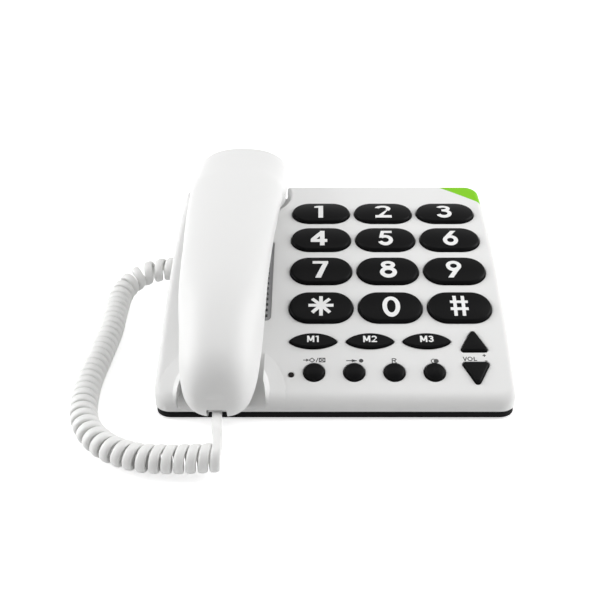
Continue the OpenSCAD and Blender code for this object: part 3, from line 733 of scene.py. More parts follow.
KEY_SIZES = {
    KeyShape.PILL: KeySizes(35.5, 22.1, 1.9, 3.0, 1.1),
    KeyShape.OVAL: KeySizes(25.8, 9.4, 1.0, 2.0, 0.6),
    KeyShape.ROUND: KeySizes(11.0, 11.0, 1.2, 2.5, 1.0),
    KeyShape.UP: KeySizes(13.9, 13.6, 1.4, 1.9, 0.9),
    KeyShape.DOWN: KeySizes(13.9, 13.6, 1.4, 1.9, 0.9),
    KeyShape.WINDOW: KeySizes(48.6, 68.8, 0.0, 0.0, 0.0),
    KeyShape.LENS: KeySizes(3.1, 3.1, 0.0, 0.0, 0.0),
}


def corner_loop(corners: Sequence[Point2], radius: float, steps: int) -> list[Point2]:
    """A loop round circles of one radius at the corners of a convex outline.

    Args:
        corners: the circles' centres, anticlockwise.
        radius: their radius.
        steps: how many parts each arc has.

    Returns:
        The loop's points.
    """
    loop: list[Point2] = []
    n = len(corners)
    for i, (x, y) in enumerate(corners):
        before, after = corners[i - 1], corners[(i + 1) % n]
        start = math.atan2(y - before[1], x - before[0]) - math.pi / 2
        end = math.atan2(after[1] - y, after[0] - x) - math.pi / 2
        while end < start - 1e-9:
            end += 2 * math.pi
        angles = [start + (end - start) * k / steps for k in range(steps + 1)]
        loop += circle((x, y), radius, angles)
    return loop


def split_sides(loop: Sequence[Point2], parts: Callable[[float], int]) -> list[Point2]:
    """A loop with its sides split into equal parts.

    Args:
        loop: the loop's points.
        parts: how many parts a side gets, from its length.

    Returns:
        The loop with the points between.
    """
    made: list[Point2] = []
    for i, p in enumerate(loop):
        q = loop[(i + 1) % len(loop)]
        count = parts(math.dist(p, q))
        for k in range(count):
            made.append((p[0] + (q[0] - p[0]) * k / count, p[1] + (q[1] - p[1]) * k / count))
    return made


def with_midpoints(loop: Sequence[Point2], longest: float) -> list[Point2]:
    """A loop whose straight parts are split into equal shorter ones."""
    return split_sides(loop, lambda side: max(1, math.ceil(side / longest)))


def outline(shape: KeyShape, grow: float) -> list[Point2]:
    """A key's or opening's outline, grown by a margin.

    Args:
        shape: which outline.
        grow: the margin; a negative one shrinks it.

    Returns:
        Points anticlockwise, as many for every margin.
    """
    size = KEY_SIZES[shape]
    if shape is KeyShape.PILL:
        half = (size.width - size.height) / 2
        radius = max(size.height / 2 + grow, 0.0)
        loop: list[Point2] = []
        arc_steps, side_steps = 28, 5
        for side, start in ((1, -90), (-1, 90)):
            end = [math.radians(start + 180 * k / arc_steps) for k in range(arc_steps + 1)]
            loop += circle((side * half, 0.0), radius, end)
            loop += [(side * half * (1 - k / (side_steps / 2)), side * radius) for k in range(1, side_steps)]
        return loop
    if shape in (KeyShape.ROUND, KeyShape.LENS):
        return circle((0.0, 0.0), max(size.width / 2 + grow, 0.0), around(40))
    if shape is KeyShape.OVAL:
        tip_share, pointed = 1.15, 1.36
        a, b = size.width / 2 + grow * tip_share, size.height / 2 + grow
        return [
            (a * math.cos(t), b * math.copysign(abs(math.sin(t)) ** pointed, math.sin(t)))
            for t in around(64)
        ]
    if shape is KeyShape.WINDOW:
        corner = 3
        a, b = size.width / 2 - corner, size.height / 2 - corner
        loop = corner_loop(rectangle((-a, -b), (a, b)), max(corner + grow, 0.1), 8)
        return with_midpoints(loop, 4.0)
    radius, vanishing = 1.3, 4.4
    a, b = size.width / 2 - radius, size.height - 2 * radius
    low = -size.height / 2 + radius
    corners = [(-a, low), (a, low), (0.0, low + b)]
    if grow >= 0:
        loop = corner_loop(corners, radius + grow, 8)
    else:
        centre = (0.0, low + b / 3)
        share = max(0.0, 1 + grow / vanishing)
        loop = [
            (centre[0] + (x - centre[0]) * share, centre[1] + (y - centre[1]) * share)
            for x, y in corner_loop(corners, radius, 8)
        ]
    if shape is KeyShape.DOWN:
        loop = [(-x, -y) for x, y in loop]
    return loop


@dataclass
class BaseForm:
    """The base's outer surface: a cylinder's panel with a dish, a well and soft edges."""

    width: float = 190.0
    depth: float = 185.0
    rear_height: float = 54.0
    panel_r: float = 430.0
    corner_r: float = 9.0
    side_round: float = 3.5
    nose_round: float = 8.0
    rear_round: float = 2.0
    well_round: float = 1.5
    foot_z: float = 5.0
    front_y: float = -96.0
    handset_x: float = -59.5
    dish_r: float = 33.0
    dish_depth: float = 6.0
    dish_soft: float = 0.9
    seat_r: tuple[float, ...] = (21.8, 22.3, 25.2, 33.0)
    seat_rise: tuple[float, ...] = (3.3, 3.0, 0.75, 0.0)
    seat_mouth_r: float = 23.2
    dish_from_front: float = 5.0
    well_r: float = 32.5
    well_floor: float = 46.0
    well_fillet: float = 1.2
    well_slope: float = 0.1
    well_from_rear: float = 13.0
    hook_r: float = 4.4
    hook_from_well: float = 5.0
    least_top: float = 0.3
    least_share: float = 0.05

    def __post_init__(self) -> None:
        """Works out the places that follow from the sizes."""
        self.rear_y = self.front_y + self.depth
        self.axis_z = self.rear_height - self.panel_r
        self.middle_y = (self.front_y + self.rear_y) / 2
        ball = (self.dish_r**2 + self.dish_depth**2) / (2 * self.dish_depth)
        tilt = math.asin((self.depth - self.dish_from_front) / self.panel_r)
        reach = self.panel_r + ball - self.dish_depth
        self.ball_r = ball
        self.ball_y = self.rear_y - reach * math.sin(tilt)
        self.ball_z = self.axis_z + reach * math.cos(tilt)
        self.dish_along = self.panel_r * tilt
        self.well_y = self.rear_y - self.well_from_rear
        self.hook_y = self.well_y - self.hook_from_well

    def along(self, y: Any) -> Any:
        """Arc length on the panel from the rear edge forward to a depth."""
        return self.panel_r * np.arcsin((self.rear_y - y) / self.panel_r)

    def depth_at(self, along: Any) -> Any:
        """Depth in the frame at an arc length."""
        return self.rear_y - self.panel_r * np.sin(along / self.panel_r)

    def on_panel(self, x: float, along: float, lift: float = 0.0) -> Point3:
        """A point over the panel's face.

        Args:
            x: place across.
            along: arc length from the rear edge.
            lift: height above the face, square to it.

        Returns:
            The point.
        """
        a = along / self.panel_r
        r = self.panel_r + lift
        return (x, self.rear_y - r * math.sin(a), self.axis_z + r * math.cos(a))

    def inset(self, x: np.ndarray, y: np.ndarray) -> tuple[np.ndarray, ...]:
        """How far points lie inside the base's outline.

        Returns:
            The distance, and the shares of side, front and rear in the nearest edge's facing.
        """
        qx = np.abs(x) - (self.width / 2 - self.corner_r)
        qy = np.abs(y - self.middle_y) - (self.depth / 2 - self.corner_r)
        both = (qx > 0) & (qy > 0)
        reach = np.hypot(np.maximum(qx, 1e-9), np.maximum(qy, 1e-9))
        distance = np.where(both, self.corner_r - reach, self.corner_r - np.maximum(qx, qy))
        side = np.where(both, (qx / reach) ** 2, (qx >= qy).astype(float))
        front = np.where(y < self.middle_y, 1 - side, 0.0)
        return distance, side, front, 1 - side - front

    def _edge_drop(self, distance: np.ndarray, radius: float) -> np.ndarray:
        """How far a rounded edge falls at a distance from the outline."""
        left = np.clip(radius - distance, 0, radius)
        return radius - np.sqrt(np.maximum(radius**2 - left**2, 0))

    def _flanks(self, x: np.ndarray, y: np.ndarray) -> tuple[np.ndarray, np.ndarray]:
        """The raised flanks on both sides of the mouth end.

        Returns:
            Whether points lie on a flank, and how far it rises over the panel there.
        """
        across = np.abs(x - self.handset_x)
        r = np.hypot(across, self.along(y) - self.dish_along)
        half, mouth_r = self.seat_r[0] - 0.01, self.seat_mouth_r - 0.01
        clear = (across > half) & (np.hypot(across, y - self.front_y) > mouth_r)
        rise = np.interp(r, self.seat_r, self.seat_rise) / math.cos(self.dish_along / self.panel_r)
        return clear & (r < self.seat_r[-1]), rise

    def _dished(self, x: np.ndarray, y: np.ndarray, panel: np.ndarray) -> np.ndarray:
        """The panel's height with the dish sunk into it, softly at its rim."""
        flat = self.ball_r**2 - (x - self.handset_x) ** 2 - (y - self.ball_y) ** 2
        dish = np.where(flat > 0, self.ball_z - np.sqrt(np.maximum(flat, 0)), 1e3)
        k = self.dish_soft
        blend = np.maximum(k - np.abs(panel - dish), 0) / k
        return np.minimum(panel, dish) - blend**2 * k / 4

    def _nose_drop(self, distance: np.ndarray) -> np.ndarray:
        """How far the rounded front edge falls at a distance from the outline."""
        r = self.nose_round
        nose_z = self.axis_z + math.sqrt((self.panel_r - r) ** 2 - (self.depth - r) ** 2)
        near = np.minimum(distance, r)
        low = self.axis_z + np.sqrt(self.panel_r**2 - (self.depth - near) ** 2)
        arc_z = nose_z + np.sqrt(np.maximum(r**2 - (r - near) ** 2, 0))
        tangent = r - r * (self.depth - r) / (self.panel_r - r)
        return np.where(distance < tangent, np.maximum(low - arc_z, 0), 0)

    def _with_well(self, rho: np.ndarray, top: np.ndarray) -> np.ndarray:
        """Sinks the well into a surface.

        Args:
            rho: distances from the well's axis.
            top: the surface's heights.

        Returns:
            The heights with the well, its fillet and its rounded rim.
        """
        f, w, slope = self.well_fillet, self.well_r, self.well_slope
        fillet = self.well_floor + f - np.sqrt(np.maximum(f**2 - (rho - w + f) ** 2, 0))
        rim_fall = self._edge_drop(rho - w - slope, self.well_round)
        ramp = self.well_floor + f + (rho - w) / slope * (top - self.well_round - self.well_floor - f)
        well = np.where(rho < w - f, self.well_floor, np.where(rho <= w, fillet, ramp))
        return np.where(rho < w + slope, np.minimum(well, top), top - rim_fall)

    def height(self, x: np.ndarray, y: np.ndarray) -> np.ndarray:
        """Height of the outer surface at places in plan."""
        panel = self.axis_z + np.sqrt(self.panel_r**2 - (self.rear_y - y) ** 2)
        flank, rise = self._flanks(x, y)
        top = np.where(flank, panel + rise, self._dished(x, y, panel))
        distance, side, front, rear = self.inset(x, y)
        distance = np.maximum(distance, 0)
        drop = (
            side * self._edge_drop(distance, self.side_round)
            + front * self._nose_drop(distance)
            + rear * self._edge_drop(distance, self.rear_round)
        )
        top = self._with_well(np.hypot(x - self.handset_x, y - self.well_y), top)
        share = np.clip((panel - drop - self.foot_z) / (panel - self.foot_z), self.least_share, 1)
        return self.foot_z + np.maximum(top - self.foot_z, self.least_top) * share

    def plan_loop(self, inset: float) -> list[Point2]:
        """The base's outline in plan, moved in."""
        a = self.width / 2 - self.corner_r
        b = self.depth / 2 - self.corner_r
        corners = rectangle((-a, self.middle_y - b), (a, self.middle_y + b))
        loop = corner_loop(corners, self.corner_r - inset, 14)
        return split_sides(loop, lambda side: 60 if side > 20 else 1)


@dataclass(frozen=True)
class Opening:
    """An opening in the panel, or in the floor of the well."""

    shape: KeyShape
    x: float
    along: float
    clearance: float
    in_well: bool = False

    def domain(self, grow: float) -> list[Point2]:
        """The outline on the unrolled panel, grown by a margin."""
        return [(self.x + u, self.along - v) for u, v in outline(self.shape, self.clearance + grow)]


@dataclass
class Casing:
    """The white top shell and its green corner."""

    form: BaseForm
    openings: list[Opening]
    lip: float = 0.45
    deep: float = 3.0
    grid: float = 2.5
    wall: float = 2.4
    accent: tuple[float, float, float] = (29.0, 28.0, 30.0)
    cord_window: tuple[float, float, float, float] = (39.5, 49.5, 12.1, 20.9)
    line_window: tuple[float, float, float, float] = (49.0, 61.0, 17.4, 26.6)
    edge_levels: int = 15
    edge_reach: float = 8.4
    edge_crowding: float = 2.1
    well_rings: tuple[float, ...] = (
        20, 26, 30, 31.3, 31.8, 32.2, 32.42, 32.5, 32.6, 32.66, 32.85, 33.15, 33.5, 34.0, 34.6,
    )
    dish_rings: tuple[float, ...] = (
        22.3, 23.2, 24.2, 24.95, 25.2, 25.45, 26.2, 27.5, 29.5, 31, 32, 32.6, 33, 33.4, 34, 35, 36.5,
    )
    seat_rings: Point2 = (0.0, 0.15)
    hook_clear: float = 1.5
    key_clear: float = 1.6
    lip_clear: float = 0.9
    lip_steps: int = 4
    foot_turn: float = 1.5
    well_clear: Point2 = (29.0, 35.2)
    dish_clear: Point2 = (20.5, 37.5)
    across_span: Point2 = (-85.0, 85.1)
    along_span: Point2 = (10.0, 182.0)

    def _clip(self, loop: Sequence[Point2]) -> list[list[Point2]]:
        """Cuts a loop on the unrolled panel where it leaves the base's outline.

        Args:
            loop: the loop's points.

        Returns:
            Runs of points inside, each ending exactly on the outline.
        """
        def inside(p: Point2) -> float:
            y = self.form.depth_at(p[1])
            return float(self.form.inset(np.array([p[0]]), np.array([y]))[0][0])

        n = len(loop)
        state = [inside(p) > 0 for p in loop]
        if all(state):
            return [list(loop) + [loop[0]]]
        runs: list[list[Point2]] = []
        starts = [i for i in range(n) if state[i] and not state[i - 1]]
        for start in starts:
            run = [self._crossing(loop[start - 1], loop[start], inside)]
            i = start
            while state[i % n]:
                run.append(loop[i % n])
                i += 1
            run.append(self._crossing(loop[i % n], loop[(i - 1) % n], inside))
            runs.append(run)
        return runs

    @staticmethod
    def _crossing(out: Point2, inn: Point2, inside: Callable[[Point2], float]) -> Point2:
        """The point between two others that lies on the outline."""
        a, b = 0.0, 1.0
        for _ in range(40):
            m = (a + b) / 2
            p = (out[0] + (inn[0] - out[0]) * m, out[1] + (inn[1] - out[1]) * m)
            if inside(p) > 0:
                b = m
            else:
                a = m
        return (out[0] + (inn[0] - out[0]) * b, out[1] + (inn[1] - out[1]) * b)

    def _well_loop(self, radius: float) -> list[Point2]:
        """A circle in plan round the well, on the unrolled panel."""
        f = self.form
        plan = circle((f.handset_x, f.well_y), radius, around(150))
        return [(x, float(f.along(y)) if y <= f.rear_y else f.rear_y - y) for x, y in plan]

    def _dish_loop(self, radius: float) -> list[Point2]:
        """A circle round the dish on the unrolled panel."""
        f = self.form
        front = f.along(f.front_y) + 5
        loop = circle((f.handset_x, f.dish_along), radius, around(110))
        return [(x, min(along, front)) for x, along in loop]

    def _seat_loop(self, inward: float) -> list[Point2]:
        """The edge of the flanks round the mouth end, on the unrolled panel."""
        f = self.form
        half, radius = f.seat_r[0] - inward, f.seat_mouth_r - inward
        turn = math.acos(half / radius)
        meet = f.front_y + radius * math.sin(turn)
        right = [(half, meet + k * 1.5) for k in range(15, 0, -1)]
        right += circle((0.0, f.front_y), radius, [turn * k / 16 for k in range(16, 1, -1)])
        plan = right + [(-u, y) for u, y in reversed(right)]
        return [(f.handset_x + u, float(f.along(y))) for u, y in plan]

    def _surface(self) -> tuple[Skin, list[list[int]]]:
        """Triangulates the outer surface.

        Returns:
            The skin, and the numbers of each opening's edge points.
        """
        f = self.form
        verts: list[Point2] = []
        edges: list[tuple[int, int]] = []

        def add(points: Sequence[Point2], closed: bool) -> list[int]:
            start = len(verts)
            verts.extend(points)
            n = len(points)
            edges.extend((start + i, start + i + 1) for i in range(n - 1))
            if closed:
                edges.append((start + n - 1, start))
            return list(range(start, start + n))

        for k in range(self.edge_levels + 1):
            loop = f.plan_loop(self.edge_reach * (k / self.edge_levels) ** self.edge_crowding)
            add([(x, float(f.along(y))) for x, y in loop], True)
        loops = [self._well_loop(radius) for radius in self.well_rings]
        loops += [self._dish_loop(radius) for radius in self.dish_rings]
        loops += [self._seat_loop(inward) for inward in self.seat_rings]
        for loop in loops:
            for run in self._clip(loop):
                add(run, False)
        rims = [add(o.domain(self.lip), True) for o in self.openings]
        plan = circle((f.handset_x, f.hook_y), f.hook_r + self.lip, around(40))
        hook = [(x, float(f.along(y))) for x, y in plan]
        rims.append(add(hook, True))
        for x in np.arange(*self.across_span, self.grid):
            for a in np.arange(*self.along_span, self.grid):
                if self._free(float(x), float(a)):
                    verts.append((float(x), float(a)))
        made, _, faces, origins, _, _ = delaunay_2d_cdt([Vector(v) for v in verts], edges, [], 0, 1e-5)
        place = {old: new for new, olds in enumerate(origins) for old in olds}
        flat = np.array([(v.x, v.y) for v in made])
        y = f.depth_at(flat[:, 1])
        z = f.height(flat[:, 0], y)
        skin = Skin([tuple(p) for p in np.column_stack([flat[:, 0], y, z])])
        polygons = [o.domain(self.lip) for o in self.openings] + [hook]
        centres = np.array([flat[list(t)].mean(0) for t in faces])
        inside = f.inset(centres[:, 0], f.depth_at(centres[:, 1]))[0] > 1e-4
        gone = np.zeros(len(centres), bool)
        for polygon in polygons:
            gone |= points_in(polygon, centres)
        skin.faces = [tuple(t) for t, a, b in zip(faces, inside, gone) if a and not b]
        return skin, [[place[i] for i in rim] for rim in rims]

    def _free(self, x: float, along: float) -> bool:
        """Whether a grid point is clear of every ring."""
        f = self.form
        y = float(f.depth_at(along))
        rho = math.hypot(x - f.handset_x, y - f.well_y)
        delta = math.hypot(x - f.handset_x, along - f.dish_along)
        if self.well_clear[0] < rho < self.well_clear[1] or self.dish_clear[0] < delta < self.dish_clear[1]:
            return False
        if math.hypot(x - f.handset_x, y - f.hook_y) < f.hook_r + self.hook_clear:
            return False
        for o in self.openings:
            size, room = KEY_SIZES[o.shape], self.key_clear
            if abs(x - o.x) < size.width / 2 + room and abs(along - o.along) < size.height / 2 + room:
                if points_in(o.domain(self.lip + self.lip_clear), np.array([[x, along]]))[0]:
                    return False
        return True

    def build(self, finishes: Finishes) -> None:
        """Builds the shell, cuts its windows and parts the green corner from it."""
        f = self.form
        skin, rims = self._surface()
        points = skin.points
        for opening, rim in zip(self.openings, rims):
            row = rim
            for step in range(1, self.lip_steps + 1):
                a = math.pi / 2 * step / self.lip_steps
                grow, fall = self.lip * (1 - math.sin(a)), self.lip * (1 - math.cos(a))
                row = self._sink(skin, row, opening, grow, fall)
            self._sink(skin, row, opening, 0.0, self.deep)
        row, floor = rims[-1], f.well_floor
        for grow, fall in ((self.lip * 0.3, self.lip * 0.3), (0.0, self.lip), (0.0, self.wall)):
            plan = circle((f.handset_x, f.hook_y), f.hook_r + grow, around(40))
            new = skin.ring((x, y, floor - fall) for x, y in plan)
            skin.bridge(row, new)
            row = new
        self._walls(skin)
        mesh = bpy.data.meshes.new("casing")
        mesh.from_pydata([tuple(c * MM for c in p) for p in points], [], skin.faces)
        work = bmesh.new()
        work.from_mesh(mesh)
        bmesh.ops.remove_doubles(work, verts=work.verts, dist=WELD_DIST)
        bmesh.ops.recalc_face_normals(work, faces=work.faces)
        self._cut_window(work, 0, -f.width / 2, self.cord_window)
        self._cut_window(work, 1, f.rear_y, self.line_window)
        corner = self._part_corner(work)
        work.to_mesh(mesh)
        work.free()
        shell = finish_mesh("casing_shell", mesh, 50)
        place_piece(finishes.dress(shell, Finishes.CASING), "base", ["base_top_shell"])
        green = finish_mesh("green_corner", corner, 50)
        place_piece(finishes.dress(green, Finishes.ACCENT), "base", ["corner_accent"])

    def _sink(self, skin: Skin, row: list[int], opening: Opening, grow: float, fall: float) -> list[int]:
        """Adds a ring below an opening's edge and joins it to the one before."""
        new = skin.ring(self.form.on_panel(x, a, -fall) for x, a in opening.domain(grow))
        skin.bridge(row, new)
        return new

    def _walls(self, skin: Skin) -> None:
        """Drops the walls from the surface's outer edge to the cover, and turns them in."""
        f = self.form
        pts = np.array(skin.points)
        count: dict[tuple[int, int], int] = {}
        for face in skin.faces:
            for i, a in enumerate(face):
                key = tuple(sorted((a, face[(i + 1) % len(face)])))
                count[key] = count.get(key, 0) + 1
        border = f.inset(pts[:, 0], pts[:, 1])[0] < 1e-3
        edges = [e for e, n in count.items() if n == 1 and border[e[0]] and border[e[1]]]
        drop: dict[int, list[int]] = {}
        for a in {v for e in edges for v in e}:
            x, y, _ = skin.points[a]
            cx = max(min(x, f.width / 2 - f.corner_r), -f.width / 2 + f.corner_r)
            b = f.depth / 2 - f.corner_r
            cy = max(min(y, f.middle_y + b), f.middle_y - b)
            out = unit(np.array((x - cx, y - cy)))
            inner = (x - out[0] * self.wall, y - out[1] * self.wall)
            drop[a] = skin.ring([(x, y, f.foot_z), (*inner, f.foot_z), (*inner, f.foot_z + self.foot_turn)])
        for a, b in edges:
            for k in range(3):
                up = (a, b) if k == 0 else (drop[a][k - 1], drop[b][k - 1])
                skin.faces.append((*up, drop[b][k], drop[a][k]))

    def _cut_window(self, work: bmesh.types.BMesh, axis: int, level: float, window: Sequence[float]) -> None:
        """Cuts a rectangular window through one wall and lines it.

        Args:
            work: the shell.
            axis: the axis that the wall faces along, 0 or 1.
            level: the wall's place on that axis.
            window: lowest and highest place across, then lowest and highest height.
        """
        other = 1 - axis
        low, high, bottom, top = (w * MM for w in window)
        cuts = ((other, low), (other, high), (2, bottom), (2, top))
        for direction, place in cuts:
            near = [
                face
                for face in work.faces
                if all(abs(v.co[axis] - level * MM) < ON_WALL for v in face.verts)
            ]
            geometry = parts_of(near)
            point, normal = Vector((0, 0, 0)), Vector((0, 0, 0))
            point[direction], normal[direction] = place, 1.0
            bmesh.ops.bisect_plane(work, geom=geometry, plane_co=point, plane_no=normal, dist=CUT_DIST)
        gone = []
        for face in work.faces:
            c = face.calc_center_median()
            if abs(c[axis] - level * MM) < ON_WALL and low < c[other] < high and bottom < c[2] < top:
                gone.append(face)
        bmesh.ops.delete(work, geom=gone, context="FACES")
        rim = [
            e
            for e in work.edges
            if e.is_boundary
            and all(
                abs(v.co[axis] - level * MM) < ON_WALL
                and low - 1e-6 < v.co[other] < high + 1e-6
                and bottom - 1e-6 < v.co[2] < top + 1e-6
                for v in e.verts
            )
        ]
        made = bmesh.ops.extrude_edge_only(work, edges=rim)["geom"]
        inward = Vector((0, 0, 0))
        inward[axis] = -math.copysign(self.wall * MM, level)
        bmesh.ops.translate(work, verts=[g for g in made if isinstance(g, bmesh.types.BMVert)], vec=inward)

    def _part_corner(self, work: bmesh.types.BMesh) -> bpy.types.Mesh:
        """Moves the rear right corner into a mesh of its own."""
        f = self.form
        long, deep, bottom = self.accent
        corner = Vector((f.width / 2 + 1, f.rear_y + 1, 0)) * MM
        normal = Vector((1 / long, 1 / deep, 0)).normalized()
        point = corner - Vector((long * MM, 0, 0))

        def beyond(face: bmesh.types.BMFace) -> bool:
            return (face.calc_center_median() - point).dot(normal) > 0

        whole = [*work.verts, *work.edges, *work.faces]
        bmesh.ops.bisect_plane(work, geom=whole, plane_co=point, plane_no=normal, dist=CUT_DIST)
        chosen = [face for face in work.faces if beyond(face)]
        cut = {"plane_co": (0, 0, bottom * MM), "plane_no": (0, 0, 1), "dist": CUT_DIST}
        bmesh.ops.bisect_plane(work, geom=parts_of(chosen), **cut)
        chosen = [face for face in work.faces if beyond(face) and face.calc_center_median().z > bottom * MM]
        mesh = bpy.data.meshes.new("corner")
        index: dict[Any, int] = {}
        points, faces = [], []
        for face in chosen:
            for v in face.verts:
                if v not in index:
                    index[v] = len(points)
                    points.append(tuple(v.co))
            faces.append(tuple(index[v] for v in face.verts))
        mesh.from_pydata(points, [], faces)
        bmesh.ops.delete(work, geom=chosen, context="FACES")
        return mesh


def parts_of(faces: Sequence[bmesh.types.BMFace]) -> list[Any]:
    """Faces with their edges and points, each once and in a fixed order."""
    return list(dict.fromkeys(part for face in faces for part in (face, *face.edges, *face.verts)))


def points_in(polygon: Sequence[Point2], points: np.ndarray) -> np.ndarray:
    """Which points lie inside a polygon."""
    inside = np.zeros(len(points), bool)
    x, y = points[:, 0], points[:, 1]
    n = len(polygon)
    for i in range(n):
        (x0, y0), (x1, y1) = polygon[i - 1], polygon[i]
        if y0 == y1:
            continue
        crosses = (y0 > y) != (y1 > y)
        inside ^= crosses & (x < (x1 - x0) * (y - y0) / (y1 - y0) + x0)
    return inside


# --------------------------------------------------------------------- keys


class Spot:
    """A key's own flat frame on the panel."""

    def __init__(self, form: BaseForm, x: float, along: float) -> None:
        """Sets the frame's origin on the panel and its axes."""
        turn = along / form.panel_r
        self.origin = np.array(form.on_panel(x, along))
        self.right = np.array((1.0, 0.0, 0.0))
        self.up = np.array((0.0, math.cos(turn), math.sin(turn)))
        self.out = np.array((0.0, -math.sin(turn), math.cos(turn)))

    def point(self, u: float, v: float, h: float) -> np.ndarray:
        """A point by its places across, up the slope and out of the panel."""
        return self.origin + u * self.right + v * self.up + h * self.out


def crown_height(shape: KeyShape, u: float, v: float) -> float:
    """Height of a key's top over the panel at a place in its own frame."""
    size = KEY_SIZES[shape]
    sag = size.crown - size.rim
    if shape is KeyShape.PILL:
        half = size.height / 2
        rho = math.hypot(max(abs(u) - (size.width - size.height) / 2, 0), v)
    elif shape is KeyShape.OVAL:
        half = size.width / 2
        rho = math.hypot(u, v)
    else:
        half = max(size.width, size.height) / 2
        rho = math.hypot(u, v)
    r = (half**2 + sag**2) / (2 * sag)
    return size.crown - r + math.sqrt(max(r**2 - rho**2, 0))


@dataclass
class Key:
    """One key: its cap and what is printed on it."""

    node: str
    shape: KeyShape
    x: float
    along: float
    mark: str = ""
    clearance: float = 0.4
    deep: float = 3.7
    flange: float = 1.0
    flange_height: float = 1.0
    wall: float = 1.6
    roof: float = 0.9
    side_top: float = 0.5
    shoulder_steps: int = 6
    crown_steps: int = 10

    def build(self, form: BaseForm, finishes: Finishes) -> None:
        """Builds the cap."""
        spot, size = Spot(form, self.x, self.along), KEY_SIZES[self.shape]
        skin, shoulder, steps = Skin(), size.shoulder, self.shoulder_steps
        foot, ledge = -self.deep, -self.deep + self.flange_height
        sides = [
            (self.wall, -self.roof), (self.wall, foot), (-self.flange, foot),
            (-self.flange, ledge), (0.0, ledge), (0.0, -self.side_top),
        ]
        rows = []
        for inset, height in sides:
            rows.append(skin.ring(spot.point(u, v, height) for u, v in outline(self.shape, -inset)))
        bends = [math.pi / 2 * k / steps for k in range(steps + 1)]
        rings = [(shoulder * (1 - math.cos(a)), shoulder * (1 - math.sin(a))) for a in bends]
        rest, count = self._reach() - shoulder, self.crown_steps
        rings += [(shoulder + rest * (k / count), 0.0) for k in range(1, count + 1)]
        for inset, fall in rings:
            loop = outline(self.shape, -inset)
            tops = [(u, v, crown_height(self.shape, u, v) - fall) for u, v in loop]
            rows.append(skin.ring(spot.point(*top) for top in tops))
        skin.tube(rows)
        cap = skin.make("cap_" + self.node, 55)
        place_piece(finishes.dress(cap, Finishes.KEY), self.node, [self.node])
        if self.mark:
            self._print(spot, finishes)

    def _reach(self) -> float:
        """How far the outline shrinks before its rings meet in the middle."""
        if self.shape in (KeyShape.UP, KeyShape.DOWN):
            return 4.2
        return KEY_SIZES[self.shape].height / 2 - (0.6 if self.shape is KeyShape.OVAL else 0.02)

    def _print(self, spot: Spot, finishes: Finishes) -> None:
        """Prints the key's marking on its top."""
        scale, lift, gap = (1.0, 0.045, 0.0) if self.shape is KeyShape.PILL else (0.3, 0.04, 0.4)
        shapes: list[list[Point2]] = []
        width = sum(GLYPH_WIDTHS[c] for c in self.mark) * scale + gap * (len(self.mark) - 1)
        pen = -width / 2
        for character in self.mark:
            centre = pen + GLYPH_WIDTHS[character] * scale / 2
            shapes += [[(centre + u * scale, v * scale) for u, v in s] for s in glyph(character)]
            pen += GLYPH_WIDTHS[character] * scale + gap
        wide, tall, right, up = (1.0, 1.0, 0.0, 0.4)
        if self.shape is KeyShape.PILL:
            wide, tall, right, up = GLYPH_FITS.get(self.mark, (1.0, 1.0, 0.0, -0.9))
        shapes = [[(u * wide + right, v * tall + up) for u, v in s] for s in shapes]

        def place(u: float, v: float, h: float) -> np.ndarray:
            return spot.point(u, v, crown_height(self.shape, u, v) + lift + h)

        piece = inked_skin(shapes, place, 1.1 * scale + 0.1).make("mark_" + self.node, 60)
        place_piece(finishes.dress(piece, Finishes.DIGIT), self.node, ())


# --------------------------------------------------------------------- markings


def bar(start: Point2, end: Point2, width: float) -> list[Point2]:
    """A straight stroke with square ends."""
    way = unit(np.array(end, float) - np.array(start, float)) * width / 2
    side = np.array((-way[1], way[0]))
    a, b = np.array(start, float), np.array(end, float)
    return [tuple(p) for p in (a - side, b - side, b + side, a + side)]


def arc(centre: Point2, radii: Point2, start: float, end: float, width: float) -> list[Point2]:
    """A curved stroke along part of an ellipse.

    Args:
        centre: the ellipse's centre.
        radii: its half sizes, to the middle of the stroke.
        start: the first angle, in degrees.
        end: the last angle, in degrees.
        width: the stroke's width.

    Returns:
        The stroke's outline.
    """
    steps = max(6, int(abs(end - start) / 9))
    angles = [math.radians(start + (end - start) * k / steps) for k in range(steps + 1)]
    outer, inner = (
        ellipse(centre, (radii[0] + half, radii[1] + half), angles) for half in (width / 2, -width / 2)
    )
    return outer + inner[::-1]


def oval(centre: Point2, radii: Point2, width: float) -> list[list[Point2]]:
    """A closed curved stroke, as two halves."""
    return [arc(centre, radii, start, start + 180, width) for start in (0, 180)]


def strokes(points: Sequence[Point2], width: float) -> list[list[Point2]]:
    """Straight strokes from point to point."""
    return [bar(start, end, width) for start, end in zip(points, points[1:])]


def disc(centre: Point2, radius: float) -> list[Point2]:
    """A filled circle."""
    return circle(centre, radius, around(28))


STROKE = 2.7
STAR_WAYS = circle((0.0, 0.0), 7.3, (math.radians(a) for a in (0, 45, 90, 135)))
GLYPH_WIDTHS = {
    "0": 10.6, "1": 7.0, "2": 10.6, "3": 10.2, "4": 10.6, "5": 10.0, "6": 10.0, "7": 9.8, "8": 10.2,
    "9": 10.0, "*": 15.0, "#": 11.0, "M": 13.5,
}


# stretch across, stretch up, shift to the right and shift up on a digit key
GLYPH_FITS = {
    "0": (0.93, 1.05, 0.4, -1.1), "1": (0.95, 1.0, -1.4, -1.0), "3": (0.95, 1.0, -0.7, -1.0),
    "4": (0.93, 1.02, -1.2, -0.9), "5": (0.92, 1.02, 0.0, -0.9), "6": (0.92, 1.02, 0.1, -0.9),
    "7": (0.94, 1.0, -0.35, -0.75), "8": (0.97, 1.0, 0.15, -0.75), "9": (0.9, 1.0, -0.6, -0.6),
    "*": (0.95, 1.0, 0.0, -0.6), "#": (0.92, 1.0, -0.45, -0.5),
}


